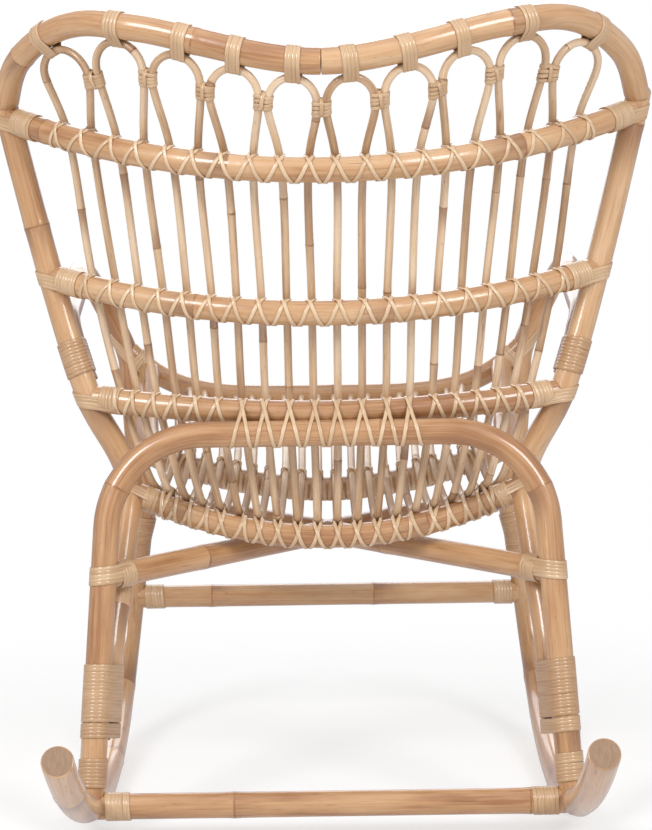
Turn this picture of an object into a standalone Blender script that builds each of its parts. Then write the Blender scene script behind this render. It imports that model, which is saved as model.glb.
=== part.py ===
"""A rattan rocking chair: bent poles, hoop canes and wound cane bindings.

Metres, +Z up. The sitter faces -Y and the chair is symmetric about X = 0, with left at +X.
"""
import math

import bmesh
import bpy
from mathutils import Vector

# Thickness of the poles and canes
FRAME_D = 0.028
BACK_RAIL_D = 0.027
SEAT_RAIL_D = 0.026
ARM_D = 0.0265
ROCKER_D = 0.032
ARCH_D = 0.0285
STRETCHER_D = 0.0275
BRACE_D = 0.027
CANE_D = 0.0086

# Flat cane binding
STRIP_WIDTH = 0.0044
STRIP_THICKNESS = 0.0014
STRIP_SPACE = 0.0008
TIE_SPACE = 0.0022
STRIP_FACETS = 8
WRAP_REACH = 0.042

# Clearance between pieces that touch, and how far a coped end goes into its neighbour's radius
GAP = 0.0003
COPE_DEPTH = 0.5
WRAP_CLEARANCE = 0.010
LASH_SLACK = 0.0006

# Back: rails on a reclined surface that bows forward into wings
RECLINE = math.radians(20.0)
LOWER_RAIL_Y = 0.100
LOWER_RAIL_Z = 0.444
LOWER_RAIL_HALF = 0.262
LOWER_RAIL_WING = 0.048
MIDDLE_RAIL_UP = 0.119
MIDDLE_RAIL_HALF = 0.302
MIDDLE_RAIL_WING = 0.108
UPPER_RAIL_UP = 0.282
UPPER_RAIL_HALF = 0.344
UPPER_RAIL_WING = 0.170

# Top of the back: height above the upper rail in the middle, then round the wing,
# each point by its inset from the upper rail's end and its height above that rail
CREST_RISE = 0.118
WING_OUTLINE = ((0.154, 0.139), (0.075, 0.126), (0.019, 0.075), (-0.001, 0.022))

# Seat rails
REAR_SEAT_Y = 0.050
REAR_SEAT_Z = 0.300
REAR_SEAT_HALF = 0.218
REAR_SEAT_RISE = 0.054
HOOP_Y = -0.073
HOOP_Z = 0.337
HOOP_HALF = 0.2065
HOOP_RISE = 0.047
HOOP_SIDE_Y = -0.112
HOOP_STATIONS = (0.0, 0.45, 0.8)
HOOP_END_CLEARANCE = 0.003
FRONT_Y = -0.310
FRONT_RAIL_Z = 0.422
FRONT_RAIL_RISE = 0.045
FRONT_RAIL_HALF = 0.230
FRONT_RAIL_POWER = 4.5

# Rockers, each bending up in front into a leg that is spliced to the arm
ROCKER_HALF_SPACING = 0.259
ROCKER_RADIUS = 0.920
ROCKER_LOW_Y = 0.014
ROCKER_STEP = math.radians(3.75)
ROCKER_REAR_Y = 0.502
ROCKER_BEND_START_Y = -0.200
FRONT_BEND_RADIUS = 0.140
SPLICE_Z = 0.244
SPLICE_HALF = 0.236

# Front leg and arm, each point by how far it is outside, behind and above the splice
ARM_ROUTE = (
    (-0.009, 0.000, 0.046),
    (0.001, 0.000, 0.106),
    (0.0065, 0.000, 0.196),
    (0.0115, 0.002, 0.238),
    (0.037, 0.014, 0.296),
    (0.057, 0.062, 0.340),
    (0.055, 0.175, 0.324),
)
ARM_LASH_UP = 0.31
ARM_LASH_LENGTH = 0.050
ARM_TURN_RISE = 0.022
ARM_TURN_RADIUS = 0.045

# Rear leg arch, leaning on the lower back rail
ARCH_FOOT_Y = 0.205
ARCH_TOE_IN = 0.003
ARCH_SHOULDER_HALF = 0.2325
ARCH_CORNER_RADIUS = 0.105
ARCH_LASH_ANGLE = math.radians(-45.0)
POST_FOOT_Z = 0.108
POST_LASH_Z = 0.149
POST_BEND_Z = 0.204
POST_BEND_RADIUS = 0.150
POST_SIDE_ANGLE = math.radians(250.0)

# Stretchers and cross braces
FRONT_STRETCHER_Z = 0.170
BRACE_REAR_Z = 0.275

# Hoop canes: at each crossing, how far the outer legs stay inside the rail's end, or clear of
# the slanting post's middle line, and how strongly the legs bunch towards the sides
LOOPS = 10
LOOP_INSET = 0.0425
LOOP_HEIGHT = 0.030
UPPER_INSET, UPPER_BUNCH = 0.055, 0.2
MIDDLE_INSET, MIDDLE_BUNCH = 0.038, 0.3
LOWER_CLEAR, LOWER_BUNCH = 0.0282, 0.8
REAR_SEAT_CLEAR, REAR_SEAT_BUNCH = 0.0277, 0.8
HOOP_INSET, HOOP_BUNCH = 0.0275, 0.6
FRONT_INSET, FRONT_BUNCH = 0.042, 0.5
CANE_BEND_RADIUS = 0.030

# Turns of each binding
RAIL_END_TURNS = 4
LOWER_RAIL_TURNS = 2
REAR_SEAT_TURNS = 2
ARM_LASH_TURNS = 7
LEG_LASH_TURNS = 11
FOOT_TURNS = 3
BRACE_TURNS = 3
STRETCHER_TURNS = 3
SPLICE_TURNS = 10
TIE_TURNS = 2

# Facets round a pole and a cane, and the longest step along a curve
POLE_SIDES = 8
CANE_SIDES = 6
CURVE_STEP = 0.042
FRAME_STEP = 0.030
CANE_STEP = 0.085
FINE_STEP = 0.003
LOOP_ARC_STEPS = 6
SEARCH_STEPS = 18
SHARP_ANGLE = math.radians(50.0)

# Colour and roughness of each material
POLE_FINISH = ((0.52, 0.30, 0.14), 0.35)
CANE_FINISH = ((0.58, 0.37, 0.19), 0.40)
BINDING_FINISH = ((0.68, 0.48, 0.27), 0.45)

BACK_UP = Vector((0.0, math.sin(RECLINE), math.cos(RECLINE)))
BACK_OUT = Vector((0.0, -math.cos(RECLINE), math.sin(RECLINE)))
LOWER_RAIL_MIDDLE = Vector((0.0, LOWER_RAIL_Y, LOWER_RAIL_Z))
SIDES = (("left", 1.0), ("right", -1.0))
STRIP_PITCH = STRIP_WIDTH + STRIP_SPACE
TIE_PITCH = STRIP_WIDTH + TIE_SPACE
LOOP_PITCH = 2.0 * (UPPER_RAIL_HALF - LOOP_INSET) / LOOPS


# Paths

def mirror(path):
    """The same path on the other side of the chair."""
    return [Vector((-p.x, p.y, p.z)) for p in path]


def to_side(path, sign):
    return path if sign > 0.0 else mirror(path)


def smooth(points, first=None, last=None, step=None):
    """A curve through the points, sampled at steps no longer than the given one."""
    step = step or CURVE_STEP
    ahead = [first or points[0] * 2.0 - points[1]] + list(points)
    ahead.append(last or points[-1] * 2.0 - points[-2])
    path = []
    for a, b, c, d in zip(ahead, ahead[1:], ahead[2:], ahead[3:]):
        pieces = max(1, math.ceil((c - b).length / step))
        for i in range(pieces):
            t = i / pieces
            path.append(0.5 * (2.0 * b + (c - a) * t
                               + (2.0 * a - 5.0 * b + 4.0 * c - d) * t * t
                               + (3.0 * b - a - 3.0 * c + d) * t ** 3))
    path.append(points[-1].copy())
    return path


def round_corner(before, corner, after, radius, step):
    """Points of the arc that rounds one corner of a polyline."""
    back = (before - corner).normalized()
    ahead = (after - corner).normalized()
    half = back.angle(ahead) / 2.0
    run = radius / math.tan(half)
    centre = corner + (back + ahead).normalized() * (radius / math.sin(half))
    start = corner + back * run - centre
    end = corner + ahead * run - centre
    pieces = max(2, math.ceil(radius * (math.pi - 2.0 * half) / step))
    return [centre + start.slerp(end, i / pieces) * radius for i in range(pieces + 1)]


def lengths(path):
    total = [0.0]
    for a, b in zip(path, path[1:]):
        total.append(total[-1] + (b - a).length)
    return total


def point_at(path, distance):
    """Point and direction at a distance along a path."""
    total = lengths(path)
    for i in range(1, len(path)):
        if distance <= total[i] or i == len(path) - 1:
            direction = (path[i] - path[i - 1]).normalized()
            return path[i - 1] + direction * (distance - total[i - 1]), direction


def point_at_height(path, height):
    """First point of a rising path at a height, with its distance along the path."""
    total = lengths(path)
    for i in range(1, len(path)):
        low, high = path[i - 1], path[i]
        if (low.z - height) * (high.z - height) <= 0.0 and low.z != high.z:
            share = (height - low.z) / (high.z - low.z)
            return low.lerp(high, share), total[i - 1] + (total[i] - total[i - 1]) * share
    raise ValueError("path never reaches that height")


def distance_to(path, place):
    """Distance along a path to its point nearest a place."""
    near = min(range(len(path)), key=lambda i: (path[i] - place).length)
    return lengths(path)[near]


def trim(path, start, end):
    """The path without a length at each end."""
    total = lengths(path)
    inner = [p for p, s in zip(path, total) if start < s < total[-1] - end]
    return [point_at(path, start)[0]] + inner + [point_at(path, total[-1] - end)[0]]


def beside(along, towards, distance):
    """Step squarely off a line, as nearly as it can towards a direction."""
    return (towards - along * towards.dot(along)).normalized() * distance


def fine(path):
    """The same polyline with more points on its straight parts."""
    total = lengths(path)
    count = math.ceil(total[-1] / FINE_STEP)
    return [point_at(path, total[-1] * i / count)[0] for i in range(count + 1)]


def frames(path, normal):
    """Direction and a steady pair of cross directions at each point of a path."""
    result = []
    for i, point in enumerate(path):
        before = path[max(i - 1, 0)]
        after = path[min(i + 1, len(path) - 1)]
        direction = ((point - before).normalized() + (after - point).normalized()).normalized()
        normal = (normal - direction * normal.dot(direction)).normalized()
        result.append((direction, normal, direction.cross(normal)))
    return result


# Solids

DOWN = Vector((0.0, 0.0, -1.0))
REARWARD = Vector((0.0, 1.0, 0.0))


def add_material(name, colour, roughness):
    """A material of one colour and roughness."""
    material = bpy.data.materials.new(name)
    material.use_nodes = True
    shader = material.node_tree.nodes["Principled BSDF"]
    shader.inputs["Base Color"].default_value = (*colour, 1.0)
    shader.inputs["Roughness"].default_value = roughness
    shader.inputs["Metallic"].default_value = 0.0
    return material


def add_object(name, bm, finish):
    bmesh.ops.recalc_face_normals(bm, faces=bm.faces)
    mesh = bpy.data.meshes.new(name)
    bm.to_mesh(mesh)
    bm.free()
    mesh.shade_smooth()
    mesh.set_sharp_from_angle(angle=SHARP_ANGLE)
    mesh.materials.append(add_material(name, *finish))
    piece = bpy.data.objects.new(name, mesh)
    bpy.context.scene.collection.objects.link(piece)
    piece.parent = chair
    return piece


def ring(point, axes, radius, sides):
    """Corners of a pole's section."""
    _, across, up = axes
    turns = [math.pi / sides * (2 * i + 1) for i in range(sides)]
    return [point + (across * math.cos(a) + up * math.sin(a)) * radius for a in turns]


def stretch(path, radii, sides, normal, centre, along, reach):
    """Corners of a pole's sections over a length either side of a place, where it lies near that."""
    axes = frames(path, normal)
    corners = []
    for point in fine(path):
        offset = point - centre
        ahead = offset.dot(along)
        if abs(ahead) <= reach + FINE_STEP and (offset - along * ahead).length < WRAP_REACH:
            at = min(range(len(path)), key=lambda i: (path[i] - point).length)
            corners += ring(point, axes[at], radii[at], sides)
    return corners


def sweep(rings):
    """A closed mesh through equal rings of points, with a face on each end."""
    bm = bmesh.new()
    loops = [[bm.verts.new(p) for p in ring] for ring in rings]
    for near, far in zip(loops, loops[1:]):
        for i in range(len(near)):
            j = (i + 1) % len(near)
            bm.faces.new((near[i], near[j], far[j], far[i]))
    bm.faces.new(reversed(loops[0]))
    bm.faces.new(loops[-1])
    return bm


def tube(path, radii, sides, normal, spread=0.0):
    """A faceted round pole, with a flat side towards the normal."""
    wider = spread / math.cos(math.pi / sides)
    return sweep([ring(point, axes, radius + wider, sides)
                  for point, radius, axes in zip(path, radii, frames(path, normal))])


class Pole:
    """One pole: its path, its thickness and the cutters made from it."""

    def __init__(self, name, path, diameter, normal=REARWARD, end_diameter=None, taper_from=0):
        self.name = name
        self.path = path
        self.radius = diameter / 2.0
        self.normal = normal
        self.cutter = None
        thin = (end_diameter or diameter) / 2.0
        last = len(path) - 1
        self.radii = []
        for i in range(len(path)):
            share = max(0.0, (i - taper_from) / (last - taper_from))
            self.radii.append(self.radius + (thin - self.radius) * share)
        bm = tube(path, self.radii, POLE_SIDES, normal)
        self.piece = add_object(name, bm, POLE_FINISH)

    def get_cutter(self):
        """The pole made fuller by the clearance, for coping its neighbours."""
        if self.cutter is None:
            bm = tube(self.path, self.radii, POLE_SIDES, self.normal, GAP)
            self.cutter = add_cutter(self.name + "_cutter", bm)
        return self.cutter

    def stretch(self, centre, along, reach):
        return stretch(self.path, self.radii, POLE_SIDES, self.normal, centre, along, reach)

    def cope(self, *neighbours):
        """Cut the seats of neighbouring poles out of this one."""
        for neighbour in neighbours:
            cut_away(self.piece, neighbour.get_cutter())


def add_cutter(name, bm):
    cutter = add_object(name, bm, POLE_FINISH)
    cutter.hide_render = True
    cutter.display_type = "WIRE"
    return cutter


def cut_away(piece, cutter):
    cut = piece.modifiers.new(cutter.name, "BOOLEAN")
    cut.operation = "DIFFERENCE"
    cut.solver = "EXACT"
    cut.object = cutter


def lap_block(name, centre, along, level):
    """A cutter that clears the upper or lower half of a brace for the one crossing it."""
    along = Vector((along.x, along.y, 0.0)).normalized()
    up = Vector((0.0, 0.0, level))
    side = up.cross(along)
    reach, half = 2.0 * BRACE_D, BRACE_D / 2.0 + GAP
    rings = []
    for end in (-reach, reach):
        near = centre + along * end - up * (GAP / 2.0)
        far = near + up * BRACE_D
        rings.append([near - side * half, near + side * half, far + side * half, far - side * half])
    return add_cutter(name, sweep(rings))


def wrap_corners(points, margin):
    """Corners of the strip's route round the sections of one or two poles, seen along them."""
    step = 2.0 * math.pi / STRIP_FACETS
    normals = [(math.cos(i * step), math.sin(i * step)) for i in range(STRIP_FACETS)]
    reach = [max(x * nx + y * ny for x, y in points) + margin for nx, ny in normals]
    corners = []
    for i, (ax, ay) in enumerate(normals):
        bx, by = normals[(i + 1) % STRIP_FACETS]
        a, b = reach[i], reach[(i + 1) % STRIP_FACETS]
        det = ax * by - ay * bx
        corners.append(((a * by - b * ay) / det, (b * ax - a * bx) / det))
    return corners


def winding(name, path, middle, turns, *stretches, pitch=STRIP_PITCH):
    """A flat cane strip wound round a pole, or round two poles that lie side by side.

    Each stretch gives the corners of one pole's sections along the winding.
    """
    run = turns * pitch
    reach = (run + STRIP_WIDTH) / 2.0
    first, point, last = (point_at(path, middle + d)[0] for d in (-reach, 0.0, reach))
    along = (last - first).normalized()
    centre = (first + last + 2.0 * point) / 4.0
    corners = [get_corners(centre, along, reach) for get_corners in stretches]
    towards = sum(corners[-1], Vector()) / len(corners[-1]) if len(corners) > 1 else corners[0][0]
    side = beside(along, towards - centre, 1.0)
    up = along.cross(side)
    points = [((p - centre).dot(side), (p - centre).dot(up)) for group in corners for p in group]
    inner = wrap_corners(points, LASH_SLACK)
    outer = wrap_corners(points, LASH_SLACK + STRIP_THICKNESS)
    edge = along * (STRIP_WIDTH / 2.0)
    stations = turns * STRIP_FACETS + 1
    rings = []
    centres = []
    for i in range(stations):
        axis = centre + along * (i * pitch / STRIP_FACETS - run / 2.0)
        near, far = (axis + side * x + up * y for x, y in
                     (inner[i % STRIP_FACETS], outer[i % STRIP_FACETS]))
        rings.append([near - edge, near + edge, far + edge, far - edge])
        centres.append((near + far) / 2.0)
    least = min((centres[i + STRIP_FACETS] - centres[i]).length
                for i in range(stations - STRIP_FACETS)) - STRIP_WIDTH
    print(name, "least gap between turns %.2f mm" % (least * 1000.0))
    return add_object(name, sweep(rings), BINDING_FINISH)


# Start from an empty scene
for leftover in list(bpy.data.objects):
    bpy.data.objects.remove(leftover, do_unlink=True)

chair = bpy.data.objects.new("chair", None)
bpy.context.scene.collection.objects.link(chair)


# Back surface

def bow_at(up):
    """How strongly the back bows forward at a height above the lower rail."""
    rows = ((0.0, LOWER_RAIL_WING / LOWER_RAIL_HALF ** 2),
            (MIDDLE_RAIL_UP, MIDDLE_RAIL_WING / MIDDLE_RAIL_HALF ** 2),
            (UPPER_RAIL_UP, UPPER_RAIL_WING / UPPER_RAIL_HALF ** 2))
    for (low, a), (high, b) in zip(rows, rows[1:]):
        if up <= high:
            return a + (b - a) * (up - low) / (high - low)
    return rows[-1][1]


def back_point(x, up):
    return (LOWER_RAIL_MIDDLE + Vector((x, 0.0, 0.0)) + BACK_UP * up
            + BACK_OUT * (bow_at(up) * x * x))


def back_normal(x, up):
    """Direction from the back towards the sitter, square to a rail."""
    return (BACK_OUT - Vector((2.0 * bow_at(up) * x, 0.0, 0.0))).normalized()


def spaced(half, step):
    count = 2 * math.ceil(half / step)
    return [half * (2.0 * i / count - 1.0) for i in range(count + 1)]


def rear_seat_point(x):
    return Vector((x, REAR_SEAT_Y, REAR_SEAT_Z + REAR_SEAT_RISE * (x / REAR_SEAT_HALF) ** 2))


def hoop_point(x):
    return Vector((x, HOOP_Y, HOOP_Z + HOOP_RISE * (x / HOOP_HALF) ** 2))


def front_rail_point(x):
    lift = FRONT_RAIL_RISE * (abs(x) / FRONT_RAIL_HALF) ** FRONT_RAIL_POWER
    return Vector((x, FRONT_Y, FRONT_RAIL_Z + lift))


# Rockers and arms

rocker_line_radius = ROCKER_RADIUS - ROCKER_D / 2.0


def rocker_point(angle):
    return Vector((ROCKER_HALF_SPACING,
                   ROCKER_LOW_Y + rocker_line_radius * math.sin(angle),
                   ROCKER_RADIUS - rocker_line_radius * math.cos(angle)))


def rocker_point_at(y):
    return rocker_point(math.asin((y - ROCKER_LOW_Y) / rocker_line_radius))


rear_angle = math.asin((ROCKER_REAR_Y - ROCKER_LOW_Y) / rocker_line_radius)
bend_angle = math.asin((ROCKER_BEND_START_Y - ROCKER_LOW_Y) / rocker_line_radius)
facets = math.ceil(math.pi / ROCKER_STEP)
corner_angles = [(i + 0.5) * ROCKER_STEP for i in range(facets, -facets, -1)]
shortest = ROCKER_STEP / 4.0
inner_angles = [a for a in corner_angles if bend_angle + shortest < a < rear_angle - shortest]
rocker_arc = [rocker_point(a) for a in [rear_angle] + inner_angles + [bend_angle]]
bend_start = rocker_arc[-1]
bend_slope = Vector((0.0, -math.cos(bend_angle), -math.sin(bend_angle)))
bend_corner = bend_start + bend_slope * ((bend_start.y - FRONT_Y) / -bend_slope.y)
splice = Vector((SPLICE_HALF, FRONT_Y, SPLICE_Z))
front_bend = round_corner(bend_start, bend_corner, splice, FRONT_BEND_RADIUS, CURVE_STEP)
leg_start = front_bend[-1]
leg_middle = leg_start.lerp(splice, 0.5)
rocker_path = rocker_arc[:-1] + front_bend + [leg_middle, splice]
taper_from = len(rocker_arc) - 1

# Back frame: from the splice in the middle of the top, round the wing and down the post

rail_ends = [back_point(UPPER_RAIL_HALF, UPPER_RAIL_UP),
             back_point(MIDDLE_RAIL_HALF, MIDDLE_RAIL_UP),
             back_point(LOWER_RAIL_HALF, 0.0)]
outline = [back_point(UPPER_RAIL_HALF - inset, UPPER_RAIL_UP + rise) for inset, rise in WING_OUTLINE]
crest = back_point(0.0, UPPER_RAIL_UP + CREST_RISE)

arch_top = LOWER_RAIL_MIDDLE + Vector((0.0, math.cos(ARCH_LASH_ANGLE), math.sin(ARCH_LASH_ANGLE))) * (
    (BACK_RAIL_D + ARCH_D) / 2.0 + GAP)
arch_foot = rocker_point_at(ARCH_FOOT_Y) + Vector((-ARCH_TOE_IN, 0.0, ROCKER_D / 2.0 * COPE_DEPTH))
arch_corner = Vector((ARCH_SHOULDER_HALF, arch_top.y, arch_top.z))
arch_shoulder = round_corner(arch_foot, arch_corner, arch_top, ARCH_CORNER_RADIUS, CURVE_STEP / 2.0)
arch_half = [arch_foot, arch_foot.lerp(arch_shoulder[0], 0.5)] + arch_shoulder
arch_path = arch_half + mirror(arch_half)[::-1]

leg_rise = (arch_shoulder[0] - arch_foot).normalized()
post_offset = beside(leg_rise, Vector((math.cos(POST_SIDE_ANGLE), math.sin(POST_SIDE_ANGLE), 0.0)),
                     (FRAME_D + ARCH_D) / 2.0 + LASH_SLACK)
post_bend, post_foot = (point_at_height(arch_half, z)[0] + post_offset for z in (POST_BEND_Z, POST_FOOT_Z))
seat_corner = rear_seat_point(REAR_SEAT_HALF)
frame_points = [crest] + outline + rail_ends + [seat_corner]
frame_path = smooth(frame_points, mirror(outline)[0], post_bend, FRAME_STEP)
frame_path += round_corner(seat_corner, post_bend, post_foot, POST_BEND_RADIUS, CURVE_STEP) + [post_foot]
across = Vector((1.0, 0.0, 0.0))
frame_path[:1] = [crest + across * (GAP / 2.0), crest + across * (FRAME_D / 4.0)]

# The arm ends beside the post, under one lashing

middle_at, lower_at, seat_at = (distance_to(frame_path, p) for p in
                                (rail_ends[1], rail_ends[2], seat_corner))
lash_at = lower_at + (middle_at - lower_at) * ARM_LASH_UP
lash_point, lash_down = point_at(frame_path, lash_at)
arm_beside = beside(lash_down, -REARWARD, (FRAME_D + ARM_D) / 2.0 + LASH_SLACK)
arm_turn = lash_point + arm_beside - lash_down * (ARM_LASH_LENGTH / 2.0 + ARM_TURN_RISE)
arm_end = lash_point + arm_beside + lash_down * (ARM_LASH_LENGTH / 2.0)
leg_up = (splice - leg_middle).normalized()
arm_points = [splice] + [splice + Vector(step) for step in ARM_ROUTE]
arm_path = smooth(arm_points, last=arm_turn)
arm_path[:1] = [splice + leg_up * GAP, splice + leg_up * (ARM_D / 2.0)]
arm_path += round_corner(arm_points[-1], arm_turn, arm_end, ARM_TURN_RADIUS, CURVE_STEP / 2.0) + [arm_end]

# Poles

arch = Pole("rear_leg_arch", arch_path, ARCH_D)
rockers, arms, frames_of_back = {}, {}, {}
for side, sign in SIDES:
    rockers[side] = Pole(side + "_rocker", to_side(rocker_path, sign), ROCKER_D, DOWN, ARM_D, taper_from)
    arms[side] = Pole(side + "_arm", to_side(arm_path, sign), ARM_D)
    frames_of_back[side] = Pole(side + "_back_frame", to_side(frame_path, sign), FRAME_D)

rear_stretcher_half = rocker_point_at(ARCH_FOOT_Y)
rear_stretcher_path = [rear_stretcher_half, mirror([rear_stretcher_half])[0]]
rear_stretcher = Pole("rear_stretcher", trim(rear_stretcher_path, *(2 * [ROCKER_D / 2.0 * COPE_DEPTH])),
                      STRETCHER_D)
rear_stretcher.cope(*rockers.values())
arch.cope(rear_stretcher, *rockers.values())

front_stretcher_half = point_at_height(rocker_path[taper_from:], FRONT_STRETCHER_Z)[0]
front_stretcher_path = [front_stretcher_half, mirror([front_stretcher_half])[0]]
front_stretcher = Pole("front_stretcher", trim(front_stretcher_path, *(2 * [ARM_D / 2.0 * COPE_DEPTH])),
                       STRETCHER_D)
front_stretcher.cope(*rockers.values())

back_rails = {}
for name, half, up in (("upper_back_rail", UPPER_RAIL_HALF, UPPER_RAIL_UP),
                       ("middle_back_rail", MIDDLE_RAIL_HALF, MIDDLE_RAIL_UP),
                       ("lower_back_rail", LOWER_RAIL_HALF, 0.0)):
    path = [back_point(x, up) for x in spaced(half, CURVE_STEP)]
    rail = Pole(name, trim(path, *(2 * [FRAME_D / 2.0 * COPE_DEPTH])), BACK_RAIL_D)
    rail.cope(*frames_of_back.values())
    back_rails[name] = rail

path = [rear_seat_point(x) for x in spaced(REAR_SEAT_HALF, CURVE_STEP)]
rear_seat_rail = Pole("rear_seat_rail", trim(path, *(2 * [FRAME_D / 2.0 * COPE_DEPTH])), SEAT_RAIL_D)
rear_seat_rail.cope(*frames_of_back.values())

leg_at_rail = min(arm_path, key=lambda p: (p - front_rail_point(p.x)).length)
path = [front_rail_point(x) for x in spaced(leg_at_rail.x, CURVE_STEP / 2.0)]
front_seat_rail = Pole("front_seat_rail", trim(path, *(2 * [ARM_D / 2.0 * COPE_DEPTH])), SEAT_RAIL_D)
front_seat_rail.cope(*arms.values())

hoop_end = front_rail_point(leg_at_rail.x - (ARM_D + SEAT_RAIL_D) / 2.0 - HOOP_END_CLEARANCE)
hoop_side = hoop_point(HOOP_HALF) + Vector((0.0, HOOP_SIDE_Y - HOOP_Y, 0.0))
hoop_half = [hoop_point(x * HOOP_HALF) for x in HOOP_STATIONS] + [hoop_side, hoop_end]
hoop_path = smooth(mirror(hoop_half)[:0:-1] + hoop_half)
hoop_path = trim(hoop_path, *(2 * [SEAT_RAIL_D / 2.0 * COPE_DEPTH]))
seat_hoop = Pole("seat_hoop", hoop_path, SEAT_RAIL_D)
seat_hoop.cope(front_seat_rail)

brace_rear, brace_at = point_at_height(arch_half, BRACE_REAR_Z)
brace_over_splice = (SPLICE_TURNS * STRIP_PITCH + BRACE_D) / 2.0 + WRAP_CLEARANCE
brace_front = mirror([point_at_height(arm_path, SPLICE_Z + brace_over_splice)[0]])[0]
crossing = brace_rear.lerp(brace_front, brace_rear.x / (brace_rear.x - brace_front.x))
braces = {}
for side, sign in SIDES:
    path = to_side([brace_rear, brace_front], sign)
    path = trim(path, ARCH_D / 2.0 * COPE_DEPTH, ARM_D / 2.0 * COPE_DEPTH)
    braces[side] = Pole(side + "_cross_brace", path, BRACE_D)
    braces[side].cope(arch, *arms.values())
    other = to_side([brace_rear, brace_front], -sign)
    cut_away(braces[side].piece, lap_block(side + "_lap_cutter", crossing, other[1] - other[0], -sign))

# Hoop canes: each goes up the seat and back, round under the top, and down again

legs = 2 * LOOPS
cane_radius = CANE_D / 2.0
post_run = rail_ends[2] - seat_corner
post_slant = post_run.length / post_run.z
back_reach = BACK_RAIL_D / 2.0 + cane_radius + GAP
seat_reach = SEAT_RAIL_D / 2.0 + cane_radius + LASH_SLACK


def leg_x(leg, outer, bunch):
    """Where a leg crosses a rail, evenly spaced in the middle and closer at the sides."""
    share = (2.0 * leg - (legs - 1)) / (legs - 1)
    return outer * math.sin(bunch * share) / math.sin(bunch)


def over_back_rail(leg, outer, bunch, up):
    x = leg_x(leg, outer, bunch)
    return back_point(x, up) + back_normal(x, up) * back_reach


def over_hoop(leg):
    x = leg_x(leg, HOOP_HALF - HOOP_INSET, HOOP_BUNCH)
    slope = 2.0 * HOOP_RISE * x / HOOP_HALF ** 2
    fall = (FRONT_RAIL_Z - HOOP_Z) / (HOOP_Y - FRONT_Y)
    return hoop_point(x) + Vector((-slope, fall, 1.0)).normalized() * seat_reach


def seat_bend(leg, before, after):
    """The cane's tight bend in the corner above the rear seat rail."""
    rail = rear_seat_point(leg_x(leg, REAR_SEAT_HALF - REAR_SEAT_CLEAR * post_slant, REAR_SEAT_BUNCH))
    down = (rail - before).normalized()
    ahead = (after - rail).normalized()
    inward = (ahead - down).normalized()
    half = (-down).angle(ahead) / 2.0
    corner = rail + inward * (seat_reach - CANE_BEND_RADIUS * (1.0 / math.sin(half) - 1.0))
    return round_corner(before, corner, after, CANE_BEND_RADIUS, CANE_BEND_RADIUS)


def leg_points(leg):
    """Points of one cane leg from the upper rail down to the front seat rail."""
    upper = over_back_rail(leg, UPPER_RAIL_HALF - UPPER_INSET, UPPER_BUNCH, UPPER_RAIL_UP)
    middle = over_back_rail(leg, MIDDLE_RAIL_HALF - MIDDLE_INSET, MIDDLE_BUNCH, MIDDLE_RAIL_UP)
    lower = over_back_rail(leg, LOWER_RAIL_HALF - LOWER_CLEAR * post_slant, LOWER_BUNCH, 0.0)
    seat = over_hoop(leg)
    front = front_rail_point(leg_x(leg, FRONT_RAIL_HALF - FRONT_INSET, FRONT_BUNCH))
    front += REARWARD * (SEAT_RAIL_D / 2.0 * COPE_DEPTH)
    return [upper, middle, lower] + seat_bend(leg, lower, seat) + [seat, front]


def loop_points(loop, height):
    """The round top of a hoop cane, from one leg to the other, with its ends at a height."""
    middle = (loop - (LOOPS - 1) / 2.0) * LOOP_PITCH
    half = (LOOP_PITCH - CANE_D - GAP) / 2.0
    arc = [math.pi * (1.0 - i / LOOP_ARC_STEPS) for i in range(LOOP_ARC_STEPS + 1)]
    return [back_point(middle + half * math.cos(a), height + LOOP_HEIGHT * math.sin(a)) for a in arc]


top_half = [p for p in frame_path if p.z > rail_ends[0].z]
top_line = fine(mirror(top_half)[::-1] + top_half)


def nearest(points, line):
    """Closest pair between some points and a line of points."""
    return min((((p - q).length, i, j) for i, p in enumerate(points) for j, q in enumerate(line)))


def seat_loop(loop):
    """Raise a loop until it touches the top of the frame, and give where it touches."""
    low, high = UPPER_RAIL_UP, UPPER_RAIL_UP + CREST_RISE
    reach = (FRAME_D + CANE_D) / 2.0 + GAP
    for _ in range(SEARCH_STEPS):
        height = (low + high) / 2.0
        if nearest(fine(loop_points(loop, height)), top_line)[0] < reach:
            high = height
        else:
            low = height
    curve = fine(loop_points(loop, low))
    _, point, line = nearest(curve, top_line)
    return low, curve[point], line


for loop in range(LOOPS):
    height, touch, line = seat_loop(loop)
    down = leg_points(2 * loop)
    up = leg_points(2 * loop + 1)
    path = smooth(down[::-1] + loop_points(loop, height) + up, step=CANE_STEP)
    radii = [cane_radius] * len(path)
    bm = tube(path, radii, CANE_SIDES, REARWARD)
    cane = add_object("hoop_cane_%02d" % (loop + 1), bm, CANE_FINISH)
    cut_away(cane, front_seat_rail.get_cutter())
    winding("top_tie_%02d" % (loop + 1), top_line, lengths(top_line)[line], TIE_TURNS,
            frames_of_back["left" if touch.x > 0.0 else "right"].stretch,
            lambda *place: stretch(path, radii, CANE_SIDES, REARWARD, *place), pitch=TIE_PITCH)

# Bindings

def bind(name, pole, middle, turns, other=None):
    """Wind a strip round a pole at a distance along it, and round one that lies beside it."""
    winding(name, pole.path, middle, turns, *(p.stretch for p in (pole, other) if p))


for name, inset in (("upper_back_rail", UPPER_INSET), ("middle_back_rail", MIDDLE_INSET)):
    rail = back_rails[name]
    turns = min(RAIL_END_TURNS, math.floor((inset - FRAME_D / 2.0 - WRAP_CLEARANCE) / STRIP_PITCH))
    away = FRAME_D / 2.0 * (1.0 - COPE_DEPTH) + WRAP_CLEARANCE + turns * STRIP_PITCH / 2.0
    bind("right_%s_binding" % name, rail, away, turns)
    bind("left_%s_binding" % name, rail, lengths(rail.path)[-1] - away, turns)

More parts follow.
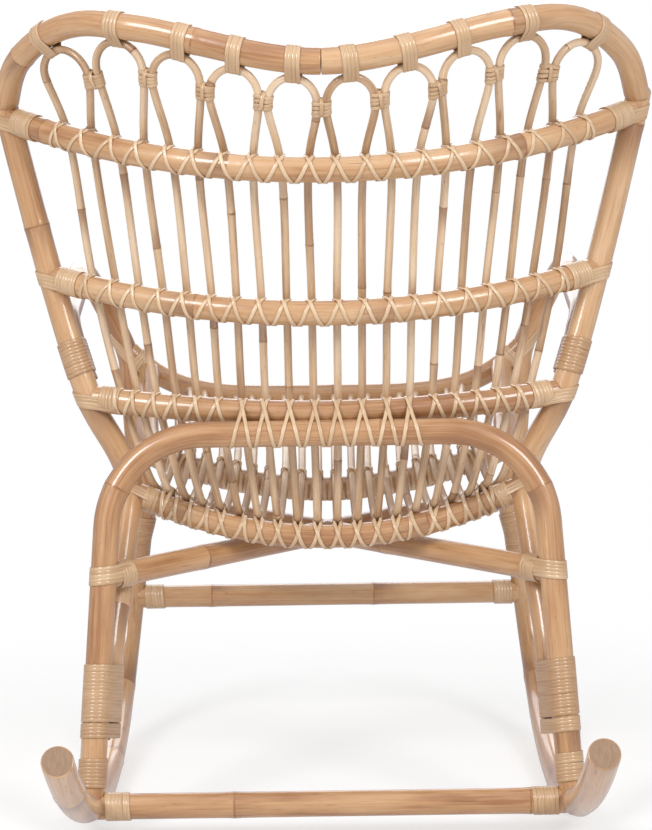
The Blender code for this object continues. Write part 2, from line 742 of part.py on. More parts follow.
for name, bar, neighbour in (("rear_stretcher", rear_stretcher, ROCKER_D),
                             ("front_stretcher", front_stretcher, ARM_D)):
    away = neighbour / 2.0 * (1.0 - COPE_DEPTH) + WRAP_CLEARANCE + STRETCHER_TURNS * STRIP_PITCH / 2.0
    bind("left_%s_binding" % name, bar, away, STRETCHER_TURNS)
    bind("right_%s_binding" % name, bar, lengths(bar.path)[-1] - away, STRETCHER_TURNS)

lash_up = point_at_height(arch_half, POST_LASH_Z)[1]
foot_up = ROCKER_D / 2.0 * (1.0 - COPE_DEPTH) + WRAP_CLEARANCE + FOOT_TURNS * STRIP_PITCH / 2.0
brace_up = brace_at + BRACE_D / 2.0 + WRAP_CLEARANCE + BRACE_TURNS * STRIP_PITCH / 2.0
lower_down = lower_at + BACK_RAIL_D / 2.0 + 2.0 * WRAP_CLEARANCE + LOWER_RAIL_TURNS * STRIP_PITCH / 2.0
seat_down = seat_at + SEAT_RAIL_D / 2.0 + WRAP_CLEARANCE + REAR_SEAT_TURNS * STRIP_PITCH / 2.0
arch_length = lengths(arch_path)[-1]
for side, sign in SIDES:
    post = frames_of_back[side]
    bind(side + "_arm_lashing", post, lash_at, ARM_LASH_TURNS, arms[side])
    bind(side + "_lower_back_rail_binding", post, lower_down, LOWER_RAIL_TURNS)
    bind(side + "_rear_seat_binding", post, seat_down, REAR_SEAT_TURNS)

    for name, rise, turns, other in (("leg_lashing", lash_up, LEG_LASH_TURNS, post),
                                     ("foot_binding", foot_up, FOOT_TURNS, None),
                                     ("brace_binding", brace_up, BRACE_TURNS, None)):
        bind("%s_%s" % (side, name), arch, rise if sign > 0.0 else arch_length - rise, turns, other)

    leg_line = to_side([leg_middle, splice, arm_points[1]], sign)
    winding(side + "_splice_binding", leg_line, (splice - leg_middle).length, SPLICE_TURNS,
            lambda *place: rockers[side].stretch(*place) + arms[side].stretch(*place))

# Stand the chair on the floor with the middle of its footprint at the origin

bpy.context.view_layer.update()
solids = [o for o in bpy.data.objects if o.type == "MESH" and not o.hide_render]
corners = [v.co for o in solids for v in o.data.vertices]
front, rear = min(c.y for c in corners), max(c.y for c in corners)
chair.location = (0.0, -(front + rear) / 2.0, -min(c.z for c in corners))
print("pieces", len(solids))
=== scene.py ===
"""Looks of a rattan rocking chair: lacquered poles, hoop canes and flat cane lashings.

Metres, +Z up. The sitter faces -Y, left is +X, and the camera looks at the chair's back.
"""
import math
import random
from collections import namedtuple

import bpy
import numpy as np
from bpy.props import FloatProperty, FloatVectorProperty, IntProperty, PointerProperty
from mathutils import Euler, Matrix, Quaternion, Vector


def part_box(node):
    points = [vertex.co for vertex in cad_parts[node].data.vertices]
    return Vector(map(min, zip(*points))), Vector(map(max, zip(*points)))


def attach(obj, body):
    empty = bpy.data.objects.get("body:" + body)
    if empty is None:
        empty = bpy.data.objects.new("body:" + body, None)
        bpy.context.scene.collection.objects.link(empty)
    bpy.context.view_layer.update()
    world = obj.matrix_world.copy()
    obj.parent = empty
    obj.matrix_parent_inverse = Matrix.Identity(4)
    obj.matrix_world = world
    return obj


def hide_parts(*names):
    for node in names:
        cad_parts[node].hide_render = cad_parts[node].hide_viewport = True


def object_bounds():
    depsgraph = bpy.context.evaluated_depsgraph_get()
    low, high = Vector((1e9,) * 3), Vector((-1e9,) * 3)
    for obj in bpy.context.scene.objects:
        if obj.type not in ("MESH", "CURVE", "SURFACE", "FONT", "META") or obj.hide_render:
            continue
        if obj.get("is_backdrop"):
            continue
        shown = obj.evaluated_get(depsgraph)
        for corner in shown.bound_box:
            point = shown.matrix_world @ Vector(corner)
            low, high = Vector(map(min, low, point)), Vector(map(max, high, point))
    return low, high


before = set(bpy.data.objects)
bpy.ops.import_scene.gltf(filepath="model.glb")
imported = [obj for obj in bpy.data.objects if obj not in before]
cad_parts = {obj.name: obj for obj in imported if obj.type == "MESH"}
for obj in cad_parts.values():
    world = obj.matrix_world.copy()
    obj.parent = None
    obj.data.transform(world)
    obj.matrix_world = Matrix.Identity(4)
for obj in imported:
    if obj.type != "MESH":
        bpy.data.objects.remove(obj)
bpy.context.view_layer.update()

bl_info = {
    "name": "Rattan Rocking Chair",
    "version": (1, 0, 0),
    "blender": (4, 5, 0),
    "location": "3D View > Sidebar > Chair",
    "description": "Builds the poles, canes, lashings and stage of a rattan rocking chair",
    "category": "Object",
}

# Thickness of the poles and canes
FRAME_D = 0.028
BACK_RAIL_D = 0.027
SEAT_RAIL_D = 0.026
ARM_D = 0.0265
ROCKER_D = 0.032
ARCH_D = 0.0285
STRETCHER_D = 0.0275
BRACE_D = 0.027
CANE_D = 0.0086

# Room at a touch, room under a lashing, and the share of a pole's radius that another's end goes in
GAP = 0.0003
LASH_SLACK = 0.0006
COPE_DEPTH = 0.5

# Back: rails on a reclined surface that bows forward into wings. Each rail has its half width, its
# height up the back, how far its ends come forward, and how its canes are set in and bunched.
RECLINE = math.radians(20.0)
LOWER_RAIL_Y = 0.100
LOWER_RAIL_Z = 0.444
BackRail = namedtuple("BackRail", "half up wing inset bunch")
BACK_RAILS = {
    "upper_back_rail": BackRail(0.344, 0.282, 0.170, 0.055, 0.2),
    "middle_back_rail": BackRail(0.302, 0.119, 0.108, 0.038, 0.3),
    "lower_back_rail": BackRail(0.262, 0.0, 0.048, 0.0305, 0.8),
}
UPPER = BACK_RAILS["upper_back_rail"]
CREST_RISE = 0.118
WING_OUTLINE = ((0.154, 0.139), (0.075, 0.126), (0.019, 0.075), (-0.001, 0.022))

# Seat rails
REAR_SEAT_Y = 0.050
REAR_SEAT_Z = 0.300
REAR_SEAT_HALF = 0.218
REAR_SEAT_RISE = 0.054
HOOP_Y = -0.073
HOOP_Z = 0.337
HOOP_HALF = 0.2065
HOOP_RISE = 0.047
HOOP_SIDE_Y = -0.112
HOOP_STATIONS = (0.0, 0.45, 0.8)
HOOP_END_CLEARANCE = 0.003
FRONT_Y = -0.310
FRONT_RAIL_Z = 0.422
FRONT_RAIL_RISE = 0.045
FRONT_RAIL_HALF = 0.230
FRONT_RAIL_POWER = 4.5

# Rockers and arms
ROCKER_HALF_SPACING = 0.259
ROCKER_RADIUS = 0.920
ROCKER_LOW_Y = 0.014
ROCKER_REAR_Y = 0.502
ROCKER_BEND_START_Y = -0.200
FRONT_BEND_RADIUS = 0.140
SPLICE_Z = 0.244
SPLICE_HALF = 0.236
ARM_ROUTE = (
    (-0.009, 0.000, 0.046),
    (0.001, 0.000, 0.106),
    (0.0065, 0.000, 0.196),
    (0.0115, 0.002, 0.238),
    (0.037, 0.014, 0.296),
    (0.057, 0.062, 0.340),
    (0.055, 0.175, 0.324),
)
ARM_LASH_UP = 0.31
ARM_LASH_LENGTH = 0.050
ARM_TURN_RISE = 0.022
ARM_TURN_RADIUS = 0.045

# Rear leg arch, posts, stretchers and braces
ARCH_FOOT_Y = 0.205
ARCH_TOE_IN = 0.003
ARCH_SHOULDER_HALF = 0.2325
ARCH_CORNER_RADIUS = 0.105
ARCH_LASH_ANGLE = math.radians(-45.0)
ARCH_LASH_HALF = 0.108
POST_FOOT_Z = 0.108
POST_BEND_Z = 0.204
POST_BEND_RADIUS = 0.150
POST_SIDE_ANGLE = math.radians(250.0)
FRONT_STRETCHER_Z = 0.170
BRACE_REAR_Z = 0.275
BRACE_OVER_SPLICE = 0.0495

# Hoop canes: how far the outermost legs stay off a rail's ends, and how they bunch at the sides
LOOPS = 10
LEGS = 2 * LOOPS
LOOP_INSET = 0.0425
LOOP_HEIGHT = 0.030
LOOP_PITCH = 2.0 * (UPPER.half - LOOP_INSET) / LOOPS
REAR_SEAT_INSET, REAR_SEAT_BUNCH = 0.030, 0.8
HOOP_INSET, HOOP_BUNCH = 0.0275, 0.6
FRONT_INSET, FRONT_BUNCH = 0.042, 0.5
CANE_BEND_RADIUS = 0.030

# How finely lines are drawn, and how often a fit is tried
STEP = 0.004
FIT_STEP = 0.003
FIT_ROUNDS = 18
LINE_SAMPLES = 160
CURVE_SAMPLES = 24
TURN_STEPS = 40
RING_SAMPLES = 180
RING_STEP = 0.0025
LOOP_SAMPLES = 64
TIGHTEN_ROUNDS = 320

# Flat cane, as shares of a strip's thickness: how high its middle lies, and how its ends tuck in
SEATED = 0.4
TUCK_RISE, TUCK_DEPTH = 1.4, 0.9
TUCK_STEPS = TURN_STEPS / 8.0
OVAL_SIDES = 10
OVAL_HALF = 0.6
FLATNESS = 0.62
# Handwork: swing of a winding's start, waver of its pitch, and the slit between two windings
START_SWING = 0.6
WAVER = 0.10
SLIT = 0.5
# Where a winding starts and a strap ends, off the middle of the pole that holds a rail
END_START = 0.016
STRAP_REACH = 0.021
STRAP_INSET = 0.0014

# Crosswise lashings, as shares of a strip's width or of a cane's reach before the rail
BESIDE_CANE = 0.7
HALF_FOOT = 0.55
FOOT_LEAN = 0.25
OUTER_FOOT = 0.4
LEAST_FOOT = 0.001
LAP_EASE = 0.55
STEEP = 0.6
PINCH = 0.35
TOP_INWARD, FOOT_INWARD = 0.8, 1.2

SIDES = (("left", 1.0), ("right", -1.0))
MIRROR = np.array((-1.0, 1.0, 1.0))
REARWARD = np.array((0.0, 1.0, 0.0))
UPWARD = np.array((0.0, 0.0, 1.0))
ACROSS = np.array((1.0, 0.0, 0.0))
FOOT_SIDE = np.array((0.0, 0.35, -1.0))
BACK_UP = np.array((0.0, math.sin(RECLINE), math.cos(RECLINE)))
BACK_OUT = np.array((0.0, -math.cos(RECLINE), math.sin(RECLINE)))

# Looks of single pieces: poles darker or paler than the rest, as painted shade and light (the lower
# poles darker where they get less light, the front stretcher lighter though it lies in shadow), and
# how pale the strips are
POLE_SHADE_AND_LIGHT_TONES = {"rear_leg_arch": -0.06, "left_cross_brace": -0.04, "right_cross_brace": -0.08,
              "lower_back_rail": -0.04, "rear_seat_rail": -0.04, "front_stretcher": 0.03}
WINDING_SHADE = 0.46
# Windings round the joints of the posts, arch, arms and rockers are darker tan, partly as painted
# shade for the low ones that get less light
JOINT_TONE_AND_PAINTED_SHADE = 0.22
RAIL_SHADE = 0.70
TIE_SHADE = 0.45

# Growth joints and sawn ends
EDGE_EASE = 0.0012
END_POINTS = (0.15, 0.4, 0.75, 1.2)
RIDGE_WIDTH = 0.004
SWELL_WIDTH, SWELL_SHARE = 0.018, 0.4
GROWTH_APART, GRAIN_APART = 40.0, 3.7

# First seeds of the canes, top ties, side windings, rail lashings and loop ties
CANE_SEED = 101
TOP_TIE_SEED = 200
SIDE_SEEDS = {"left": 300, "right": 400}
LASHING_SEED = 500
LOOP_TIE_SEED = 600

# Marks of the skin: repeats per metre on the two axes across the grain, and along it
STREAKS = (420.0, 420.0, 9.0)
PATCHES = (46.0, 46.0, 7.0)
CLOUDS = (75.0, 75.0, 30.0)
SMEARS = (120.0, 120.0, 13.0)
SPECKS = (520.0, 520.0, 120.0)
DASHES = (700.0, 700.0, 26.0)
FIBRES = (1400.0, 1400.0, 22.0)
FIBRE_PATCHES = (90.0, 90.0, 16.0)
PORES = (1500.0, 1500.0, 1.0)
PITH = (300.0, 90.0, 1.0)

# Camera, fitted to the photo, with its dip and roll in degrees, and the lights' sizes and places
CAMERA_SPOT = (0.0, 2.8, 0.7447)
CAMERA_DIP = 6.234
CAMERA_ROLL = -0.826
CAMERA_LENS = 111.8
SENSOR_WIDTH = 36.0
LIGHT_AIM = (0.0, 0.0, 0.45)
LIGHTS = {
    "key": ((0.9, 1.2), (1.75, 2.3, 2.4)),
    "fill": ((0.9, 1.2), (-1.75, 2.3, 2.3)),
    "top": ((2.4, 2.4), (0.0, 0.2, 2.8)),
    "front": ((2.4, 1.6), (0.3, -2.6, 1.6)),
}
SHADOW_FROM, SHADOW_TO = 0.45, 1.3
WHITE = (1.0, 1.0, 1.0, 1.0)


# Lines

def place(x, y, z):
    return np.array((x, y, z), float)


def unit(v):
    return v / np.linalg.norm(v, axis=-1, keepdims=True)


def square_part(v, way):
    """The direction of what one vector has square to another."""
    return unit(v - way * (v @ way))


def lengths(path):
    """Distance along a line at each of its points."""
    return np.concatenate(([0.0], np.cumsum(np.linalg.norm(np.diff(path, axis=0), axis=1))))


def between(values, run, s):
    """Values of a line's points, read at a distance along it, or at several."""
    return np.stack([np.interp(s, run, column) for column in values.T], axis=-1)


def smooth(points, first=None, last=None, tension=0.0):
    """A curve through the points; tension 0.5 keeps it free of kinks at uneven spacing."""
    points = [np.asarray(p, float) for p in points]
    ahead = [2.0 * points[0] - points[1] if first is None else first] + points
    ahead.append(2.0 * points[-1] - points[-2] if last is None else last)
    t = np.linspace(0.0, 1.0, CURVE_SAMPLES, endpoint=False)[:, None]
    runs = []
    for a, b, c, d in zip(ahead, ahead[1:], ahead[2:], ahead[3:]):
        before, here, after = (
            np.linalg.norm(q - p) ** tension for p, q in ((a, b), (b, c), (c, d)))
        start = (c - b) + here * ((b - a) / before - (c - a) / (before + here))
        end = (c - b) + here * ((d - c) / after - (d - b) / (here + after))
        runs.append(b + start * t + (3.0 * (c - b) - 2.0 * start - end) * t ** 2
                    + (2.0 * (b - c) + start + end) * t ** 3)
    return np.vstack(runs + [points[-1][None]])


def round_corner(before, corner, after, radius):
    """The arc that rounds one corner of a line."""
    back, ahead = unit(before - corner), unit(after - corner)
    half = math.acos(np.clip(back @ ahead, -1.0, 1.0)) / 2.0
    run = radius / math.tan(half)
    centre = corner + unit(back + ahead) * (radius / math.sin(half))
    a, b = unit(corner + back * run - centre), unit(corner + ahead * run - centre)
    turn = math.pi - 2.0 * half
    t = np.linspace(0.0, 1.0, CURVE_SAMPLES)[:, None]
    arc = np.sin((1.0 - t) * turn) * a + np.sin(t * turn) * b
    return centre + arc * (radius / math.sin(turn))


def even(path, step=STEP):
    """The same line in equal steps."""
    total = lengths(path)
    return between(path, total, np.linspace(
        0.0, total[-1], max(2, round(total[-1] / step)) + 1))


def along(path, s):
    """Point of a line at a distance, or points at several."""
    return between(path, lengths(path), s)


def directions(path):
    return unit(np.gradient(path, axis=0))


def heading(path, s):
    """Direction of a line at a distance, or directions at several."""
    return unit(between(directions(path), lengths(path), s))


def at_height(path, height):
    """Point where a rising line first reaches a height."""
    i = int(np.argmax(path[:, 2] >= height))
    share = (height - path[i - 1, 2]) / (path[i, 2] - path[i - 1, 2])
    return path[i - 1] + (path[i] - path[i - 1]) * share


def distance_to(path, spot):
    """Distance along a line to its point nearest a spot."""
    return lengths(path)[np.argmin(np.linalg.norm(path - spot, axis=1))]


def trim(path, start, end):
    """A line without some of its start and end."""
    total = lengths(path)
    inner = path[(total > start) & (total < total[-1] - end)]
    return np.vstack((along(path, start)[None], inner, along(path, total[-1] - end)[None]))


def to_side(path, sign):
    return path if sign > 0.0 else path * MIRROR


def mirrored(half):
    """A half line from the middle outwards, with its mirror image before it."""
    return np.vstack((half[:0:-1] * MIRROR, half))


# Surfaces that the rails and canes follow

def bow_at(up):
    """How strongly the back bows forward at a height above the lower rail."""
    rising = list(BACK_RAILS.values())[::-1]
    return np.interp(up, [rail.up for rail in rising],
                     [rail.wing / rail.half ** 2 for rail in rising])


def back_point(x, up):
    on_back = place(x, LOWER_RAIL_Y, LOWER_RAIL_Z) + BACK_UP * up
    return on_back + BACK_OUT * (bow_at(up) * x * x)


def back_normal(x, up):
    """Direction from the back towards the sitter, square to a rail."""
    return unit(BACK_OUT - ACROSS * (2.0 * bow_at(up) * x))


def rear_seat_point(x):
    return place(x, REAR_SEAT_Y, REAR_SEAT_Z + REAR_SEAT_RISE * (x / REAR_SEAT_HALF) ** 2)


def hoop_point(x):
    return place(x, HOOP_Y, HOOP_Z + HOOP_RISE * (x / HOOP_HALF) ** 2)


def front_rail_point(x):
    rise = FRONT_RAIL_RISE * (abs(x) / FRONT_RAIL_HALF) ** FRONT_RAIL_POWER
    return place(x, FRONT_Y, FRONT_RAIL_Z + rise)


def across_line(point_at, half, *rest):
    return np.array([point_at(x, *rest) for x in np.linspace(-half, half, LINE_SAMPLES)])


def rocker_point_at(y):
    radius = ROCKER_RADIUS - ROCKER_D / 2.0
    angle = math.asin((y - ROCKER_LOW_Y) / radius)
    return place(ROCKER_HALF_SPACING, y, ROCKER_RADIUS - radius * math.cos(angle))


def middle_of(node):
    """Middle of the box round a CAD node."""
    low, high = np.array(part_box(node))
    return (low + high) / 2.0


# The frame stands with the middle of its footprint at the origin
rear_bar_end = rocker_point_at(ARCH_FOOT_Y)
SHIFT = middle_of("rear_stretcher") - rear_bar_end * (0.0, 1.0, 1.0)


class Stick:
    """A pole or cane: its line, the distance along it and its radius there."""

    def __init__(self, path, radii, run=None):
        self.path, self.radii = path, radii
        self.run = lengths(path) if run is None else run
        self.length = self.run[-1]

    def with_next(self, other):
        """This stick and one that goes on from its end, as one."""
        return Stick(np.vstack((self.path, other.path[1:])),
                     np.concatenate((self.radii, other.radii[1:])))

    def with_fine_ends(self):
        """This stick with closer points near both ends, so that its edges can be eased."""
        near = np.array(END_POINTS) * EDGE_EASE
        s = np.unique(np.concatenate((self.run, near, self.length - near)))
        return Stick(along(self.path, s), np.interp(s, self.run, self.radii), s)

    def at(self, spot):
        return distance_to(self.path, spot)


def bent(path, thick, thin=None, thin_from=0.0):
    """A stick along a line of the CAD, which may thin towards its end."""
    path = even(path) + SHIFT
    run = lengths(path)
    share = np.clip((run - thin_from) / max(run[-1] - thin_from, STEP), 0.0, 1.0)
    return Stick(path, (thick + ((thin or thick) - thick) * share) / 2.0, run)


# Rockers: an arc on the floor that bends up in front into the lower front leg
rocker_arc = np.array([rocker_point_at(y) for y in np.linspace(
    ROCKER_REAR_Y, ROCKER_BEND_START_Y, LINE_SAMPLES)])
bend_slope = unit(rocker_arc[-1] - rocker_arc[-2])
bend_corner = rocker_arc[-1] + bend_slope * ((rocker_arc[-1, 1] - FRONT_Y) / -bend_slope[1])
splice = place(SPLICE_HALF, FRONT_Y, SPLICE_Z)
front_bend = round_corner(rocker_arc[-1], bend_corner, splice, FRONT_BEND_RADIUS)
leg_middle = (front_bend[-1] + splice) / 2.0
rocker_path = np.vstack((rocker_arc[:-1], front_bend, leg_middle[None], splice[None]))
rocker_thin_from = lengths(rocker_arc)[-1]
front_bar_end = at_height(np.vstack((front_bend, splice[None])), FRONT_STRETCHER_Z)

# Rear leg arch: up from the rocker and over behind the lower back rail
arch_top = place(0.0, LOWER_RAIL_Y, LOWER_RAIL_Z) + place(
    0.0, math.cos(ARCH_LASH_ANGLE), math.sin(ARCH_LASH_ANGLE)) * (
        (BACK_RAIL_D + ARCH_D) / 2.0 + GAP)
arch_foot = rear_bar_end + place(-ARCH_TOE_IN, 0.0, ROCKER_D / 2.0 * COPE_DEPTH)
arch_corner = place(ARCH_SHOULDER_HALF, arch_top[1], arch_top[2])
arch_shoulder = round_corner(arch_foot, arch_corner, arch_top, ARCH_CORNER_RADIUS)
arch_half = np.vstack((arch_foot[None], arch_shoulder))

# Back frame: from the middle of the top, round the wing and down the post beside the arch's leg
rail_ends = [back_point(rail.half, rail.up) for rail in BACK_RAILS.values()]
outline = [back_point(UPPER.half - inset, UPPER.up + rise) for inset, rise in WING_OUTLINE]
crest = back_point(0.0, UPPER.up + CREST_RISE)
post_side = place(math.cos(POST_SIDE_ANGLE), math.sin(POST_SIDE_ANGLE), 0.0)
post_offset = square_part(post_side, unit(arch_shoulder[0] - arch_foot)) * (
    (FRAME_D + ARCH_D) / 2.0 + LASH_SLACK)
post_bend, post_foot = (at_height(arch_half, z) + post_offset for z in (POST_BEND_Z, POST_FOOT_Z))
seat_corner = rear_seat_point(REAR_SEAT_HALF)
frame_path = np.vstack((
    smooth([crest] + outline + rail_ends + [seat_corner], outline[0] * MIRROR, post_bend),
    round_corner(seat_corner, post_bend, post_foot, POST_BEND_RADIUS), post_foot[None]))
frame_path[0] += ACROSS * (GAP / 2.0)

# The arm ends beside the post, under one lashing
middle_at, lower_at = (distance_to(frame_path, p) for p in rail_ends[1:])
lash_at = lower_at + (middle_at - lower_at) * ARM_LASH_UP
lash_down = heading(frame_path, lash_at)
arm_spot = along(frame_path, lash_at) + square_part(-REARWARD, lash_down) * (
    (FRAME_D + ARM_D) / 2.0 + LASH_SLACK)
arm_turn = arm_spot - lash_down * (ARM_LASH_LENGTH / 2.0 + ARM_TURN_RISE)
arm_end = arm_spot + lash_down * (ARM_LASH_LENGTH / 2.0)
arm_points = [splice] + [splice + place(*step) for step in ARM_ROUTE]
arm_path = np.vstack((
    smooth(arm_points, last=arm_turn),
    round_corner(arm_points[-1], arm_turn, arm_end, ARM_TURN_RADIUS), arm_end[None]))

# Seat hoop and braces
leg_at_rail = min(arm_path, key=lambda p: np.linalg.norm(p - front_rail_point(p[0])))
hoop_end = front_rail_point(leg_at_rail[0] - (ARM_D + SEAT_RAIL_D) / 2.0 - HOOP_END_CLEARANCE)
hoop_side = hoop_point(HOOP_HALF) + REARWARD * (HOOP_SIDE_Y - HOOP_Y)
hoop_half = np.array([hoop_point(x * HOOP_HALF) for x in HOOP_STATIONS] + [hoop_side, hoop_end])
brace_line = np.array((at_height(arch_half, BRACE_REAR_Z),
                       at_height(arm_path, SPLICE_Z + BRACE_OVER_SPLICE) * MIRROR))


def make_sticks():
    """Every pole of the chair by its name."""
    in_post, in_rocker, in_arm, in_rail, in_arch = (
        d / 2.0 * COPE_DEPTH for d in (FRAME_D, ROCKER_D, ARM_D, SEAT_RAIL_D, ARCH_D))
    rear_bar, front_bar = (np.array((end, end * MIRROR)) for end in (rear_bar_end, front_bar_end))
    sticks = {"rear_leg_arch": bent(np.vstack((arch_half, arch_half[::-1] * MIRROR)), ARCH_D)}
    rails = [
        ("rear_stretcher", rear_bar, in_rocker, STRETCHER_D),
        ("front_stretcher", front_bar, in_arm, STRETCHER_D),
        ("rear_seat_rail", across_line(rear_seat_point, REAR_SEAT_HALF), in_post, SEAT_RAIL_D),
        ("front_seat_rail", across_line(front_rail_point, leg_at_rail[0]), in_arm, SEAT_RAIL_D),
        ("seat_hoop", smooth(mirrored(hoop_half)), in_rail, SEAT_RAIL_D),
    ]
    rails += [(name, across_line(back_point, rail.half, rail.up), in_post, BACK_RAIL_D)
              for name, rail in BACK_RAILS.items()]
    for name, line, cope, thick in rails:
        sticks[name] = bent(trim(line, cope, cope), thick)
    for side, sign in SIDES:
        sticks[side + "_rocker"] = bent(
            to_side(rocker_path, sign), ROCKER_D, ARM_D, rocker_thin_from)
        sticks[side + "_arm"] = bent(to_side(arm_path, sign), ARM_D)
        sticks[side + "_back_frame"] = bent(to_side(frame_path, sign), FRAME_D)
        sticks[side + "_cross_brace"] = bent(
            trim(to_side(brace_line, sign), in_arch, in_arm), BRACE_D)
    return sticks


# Hoop canes

back_reach = (BACK_RAIL_D + CANE_D) / 2.0 + GAP
seat_reach = (SEAT_RAIL_D + CANE_D) / 2.0 + LASH_SLACK


def leg_x(leg, outer, bunch):
    """Where a leg crosses a rail, evenly spaced in the middle and closer at the sides."""
    return outer * math.sin(bunch * (2.0 * leg - (LEGS - 1)) / (LEGS - 1)) / math.sin(bunch)


def back_crossing(leg, rail):
    """Point of a back rail under a cane's leg, and the direction from the rail to the leg."""
    x = leg_x(leg, rail.half - rail.inset, rail.bunch)
    return back_point(x, rail.up), back_normal(x, rail.up)


def hoop_crossing(leg):
    x = leg_x(leg, HOOP_HALF - HOOP_INSET, HOOP_BUNCH)
    slope = 2.0 * HOOP_RISE * x / HOOP_HALF ** 2
    return hoop_point(x), unit(place(-slope, (FRONT_RAIL_Z - HOOP_Z) / (HOOP_Y - FRONT_Y), 1.0))


def rear_seat_spot(leg):
    return rear_seat_point(leg_x(leg, REAR_SEAT_HALF - REAR_SEAT_INSET, REAR_SEAT_BUNCH))


def leg_points(leg):
    """Points of one cane's leg from the upper rail down to the front seat rail."""
    crossings = [back_crossing(leg, rail) for rail in BACK_RAILS.values()]
    back = [rail + normal * back_reach for rail, normal in crossings]
    lower = back[-1]
    rail, normal = hoop_crossing(leg)
    seat = rail + normal * seat_reach
    rail = rear_seat_spot(leg)
    inward = unit(unit(seat - rail) - unit(rail - lower))
    half = math.acos(unit(lower - rail) @ unit(seat - rail)) / 2.0
    corner = rail + inward * (seat_reach - CANE_BEND_RADIUS * (1.0 / math.sin(half) - 1.0))
    bend = round_corner(lower, corner, seat, CANE_BEND_RADIUS)
    front = front_rail_point(leg_x(leg, FRONT_RAIL_HALF - FRONT_INSET, FRONT_BUNCH))
    front = front + REARWARD * (SEAT_RAIL_D / 2.0 * COPE_DEPTH)
    return back + list(bend[::CURVE_SAMPLES // 3]) + [seat, front]


def loop_points(loop, height, count=7):
    """The round top of a hoop cane, from one leg to the other."""
    middle = (loop - (LOOPS - 1) / 2.0) * LOOP_PITCH
    half = (LOOP_PITCH - CANE_D - GAP) / 2.0
    return [back_point(middle + half * math.cos(a), height + LOOP_HEIGHT * math.sin(a))
            for a in np.linspace(math.pi, 0.0, count)]


top_half = frame_path[frame_path[:, 2] > rail_ends[0][2]]
top_line = even(np.vstack((top_half[::-1] * MIRROR, top_half)), FIT_STEP)


def seat_loop(loop):
    """Raise a loop until it touches the top of the frame, and give where it touches."""
    low, high = UPPER.up, UPPER.up + CREST_RISE
    for _ in range(FIT_ROUNDS):
        height = (low + high) / 2.0
        curve = even(np.array(loop_points(loop, height, CURVE_SAMPLES)), FIT_STEP)
        apart = np.linalg.norm(curve[:, None] - top_line[None], axis=2)
        if apart.min() < (FRAME_D + CANE_D) / 2.0 + GAP:
            high = height
        else:
            low = height
    return low, top_line[np.unravel_index(apart.argmin(), apart.shape)[1]]


def make_canes():
    """Every hoop cane, and the place on the frame where its loop is tied."""
    canes, ties = [], []
    for loop in range(LOOPS):
        height, touch = seat_loop(loop)
        down, up = leg_points(2 * loop), leg_points(2 * loop + 1)
        canes.append(bent(smooth(down[::-1] + loop_points(loop, height) + up, tension=0.5), CANE_D))
        ties.append(touch + SHIFT)
    return canes, ties


STICKS = make_sticks()
CANES, TIE_SPOTS = make_canes()


# Strands of flat cane: a middle line, its outward directions, and if it is a closed loop

Strand = namedtuple("Strand", "points outward closed", defaults=(False,))


def wound(sticks, middle, turns, strip, seed):
    """A strip wound round one stick at a distance along it, and round others beside it."""
    draw = random.Random(seed)
    count = round(turns * TURN_STEPS)
    step = np.arange(count + 1)
    angle = step * (2.0 * math.pi / TURN_STEPS) + math.pi + draw.uniform(-START_SWING, START_SWING)
    knots = np.arange(0, count + TURN_STEPS, TURN_STEPS // 2)
    waver = np.interp(step, knots, [draw.uniform(-WAVER, WAVER) for _ in knots])
    s = middle + (step / TURN_STEPS - turns / 2.0 + waver) * strip.pitch
    main = sticks[0]
    centre, way = along(main.path, s), heading(main.path, s)
    side = unit(REARWARD - way * (way @ REARWARD)[:, None])
    up = np.cross(way, side)
    sink = np.clip(np.minimum(step, count - step) / TUCK_STEPS, 0.0, 1.0)
    lift = strip.thickness * (TUCK_RISE * sink - TUCK_DEPTH)
    normal = np.column_stack((np.cos(angle), np.sin(angle)))
    best = np.zeros((count + 1, 2))
    reach = np.full(count + 1, -1.0)
    for stick in sticks:
        near = np.linalg.norm(centre[:, None] - stick.path[None], axis=2).argmin(axis=1)
        offset = stick.path[near] - centre if stick is not main else np.zeros_like(centre)
        flat = np.column_stack(((offset * side).sum(1), (offset * up).sum(1)))
        radius = np.interp(s, main.run, main.radii) if stick is main else stick.radii[near]
        support = (flat * normal).sum(1) + radius
        further = support > reach
        reach[further] = support[further]
        best[further] = (flat + normal * (radius + lift)[:, None])[further]
    points = centre + side * best[:, :1] + up * best[:, 1:]
    return Strand(points, side * normal[:, :1] + up * normal[:, 1:])


def bar(stick, spot):
    """A stick near a spot, as a straight bar: a point, a direction and a radius."""
    i = np.linalg.norm(stick.path - spot, axis=1).argmin()
    return stick.path[i], directions(stick.path)[i], stick.radii[i]


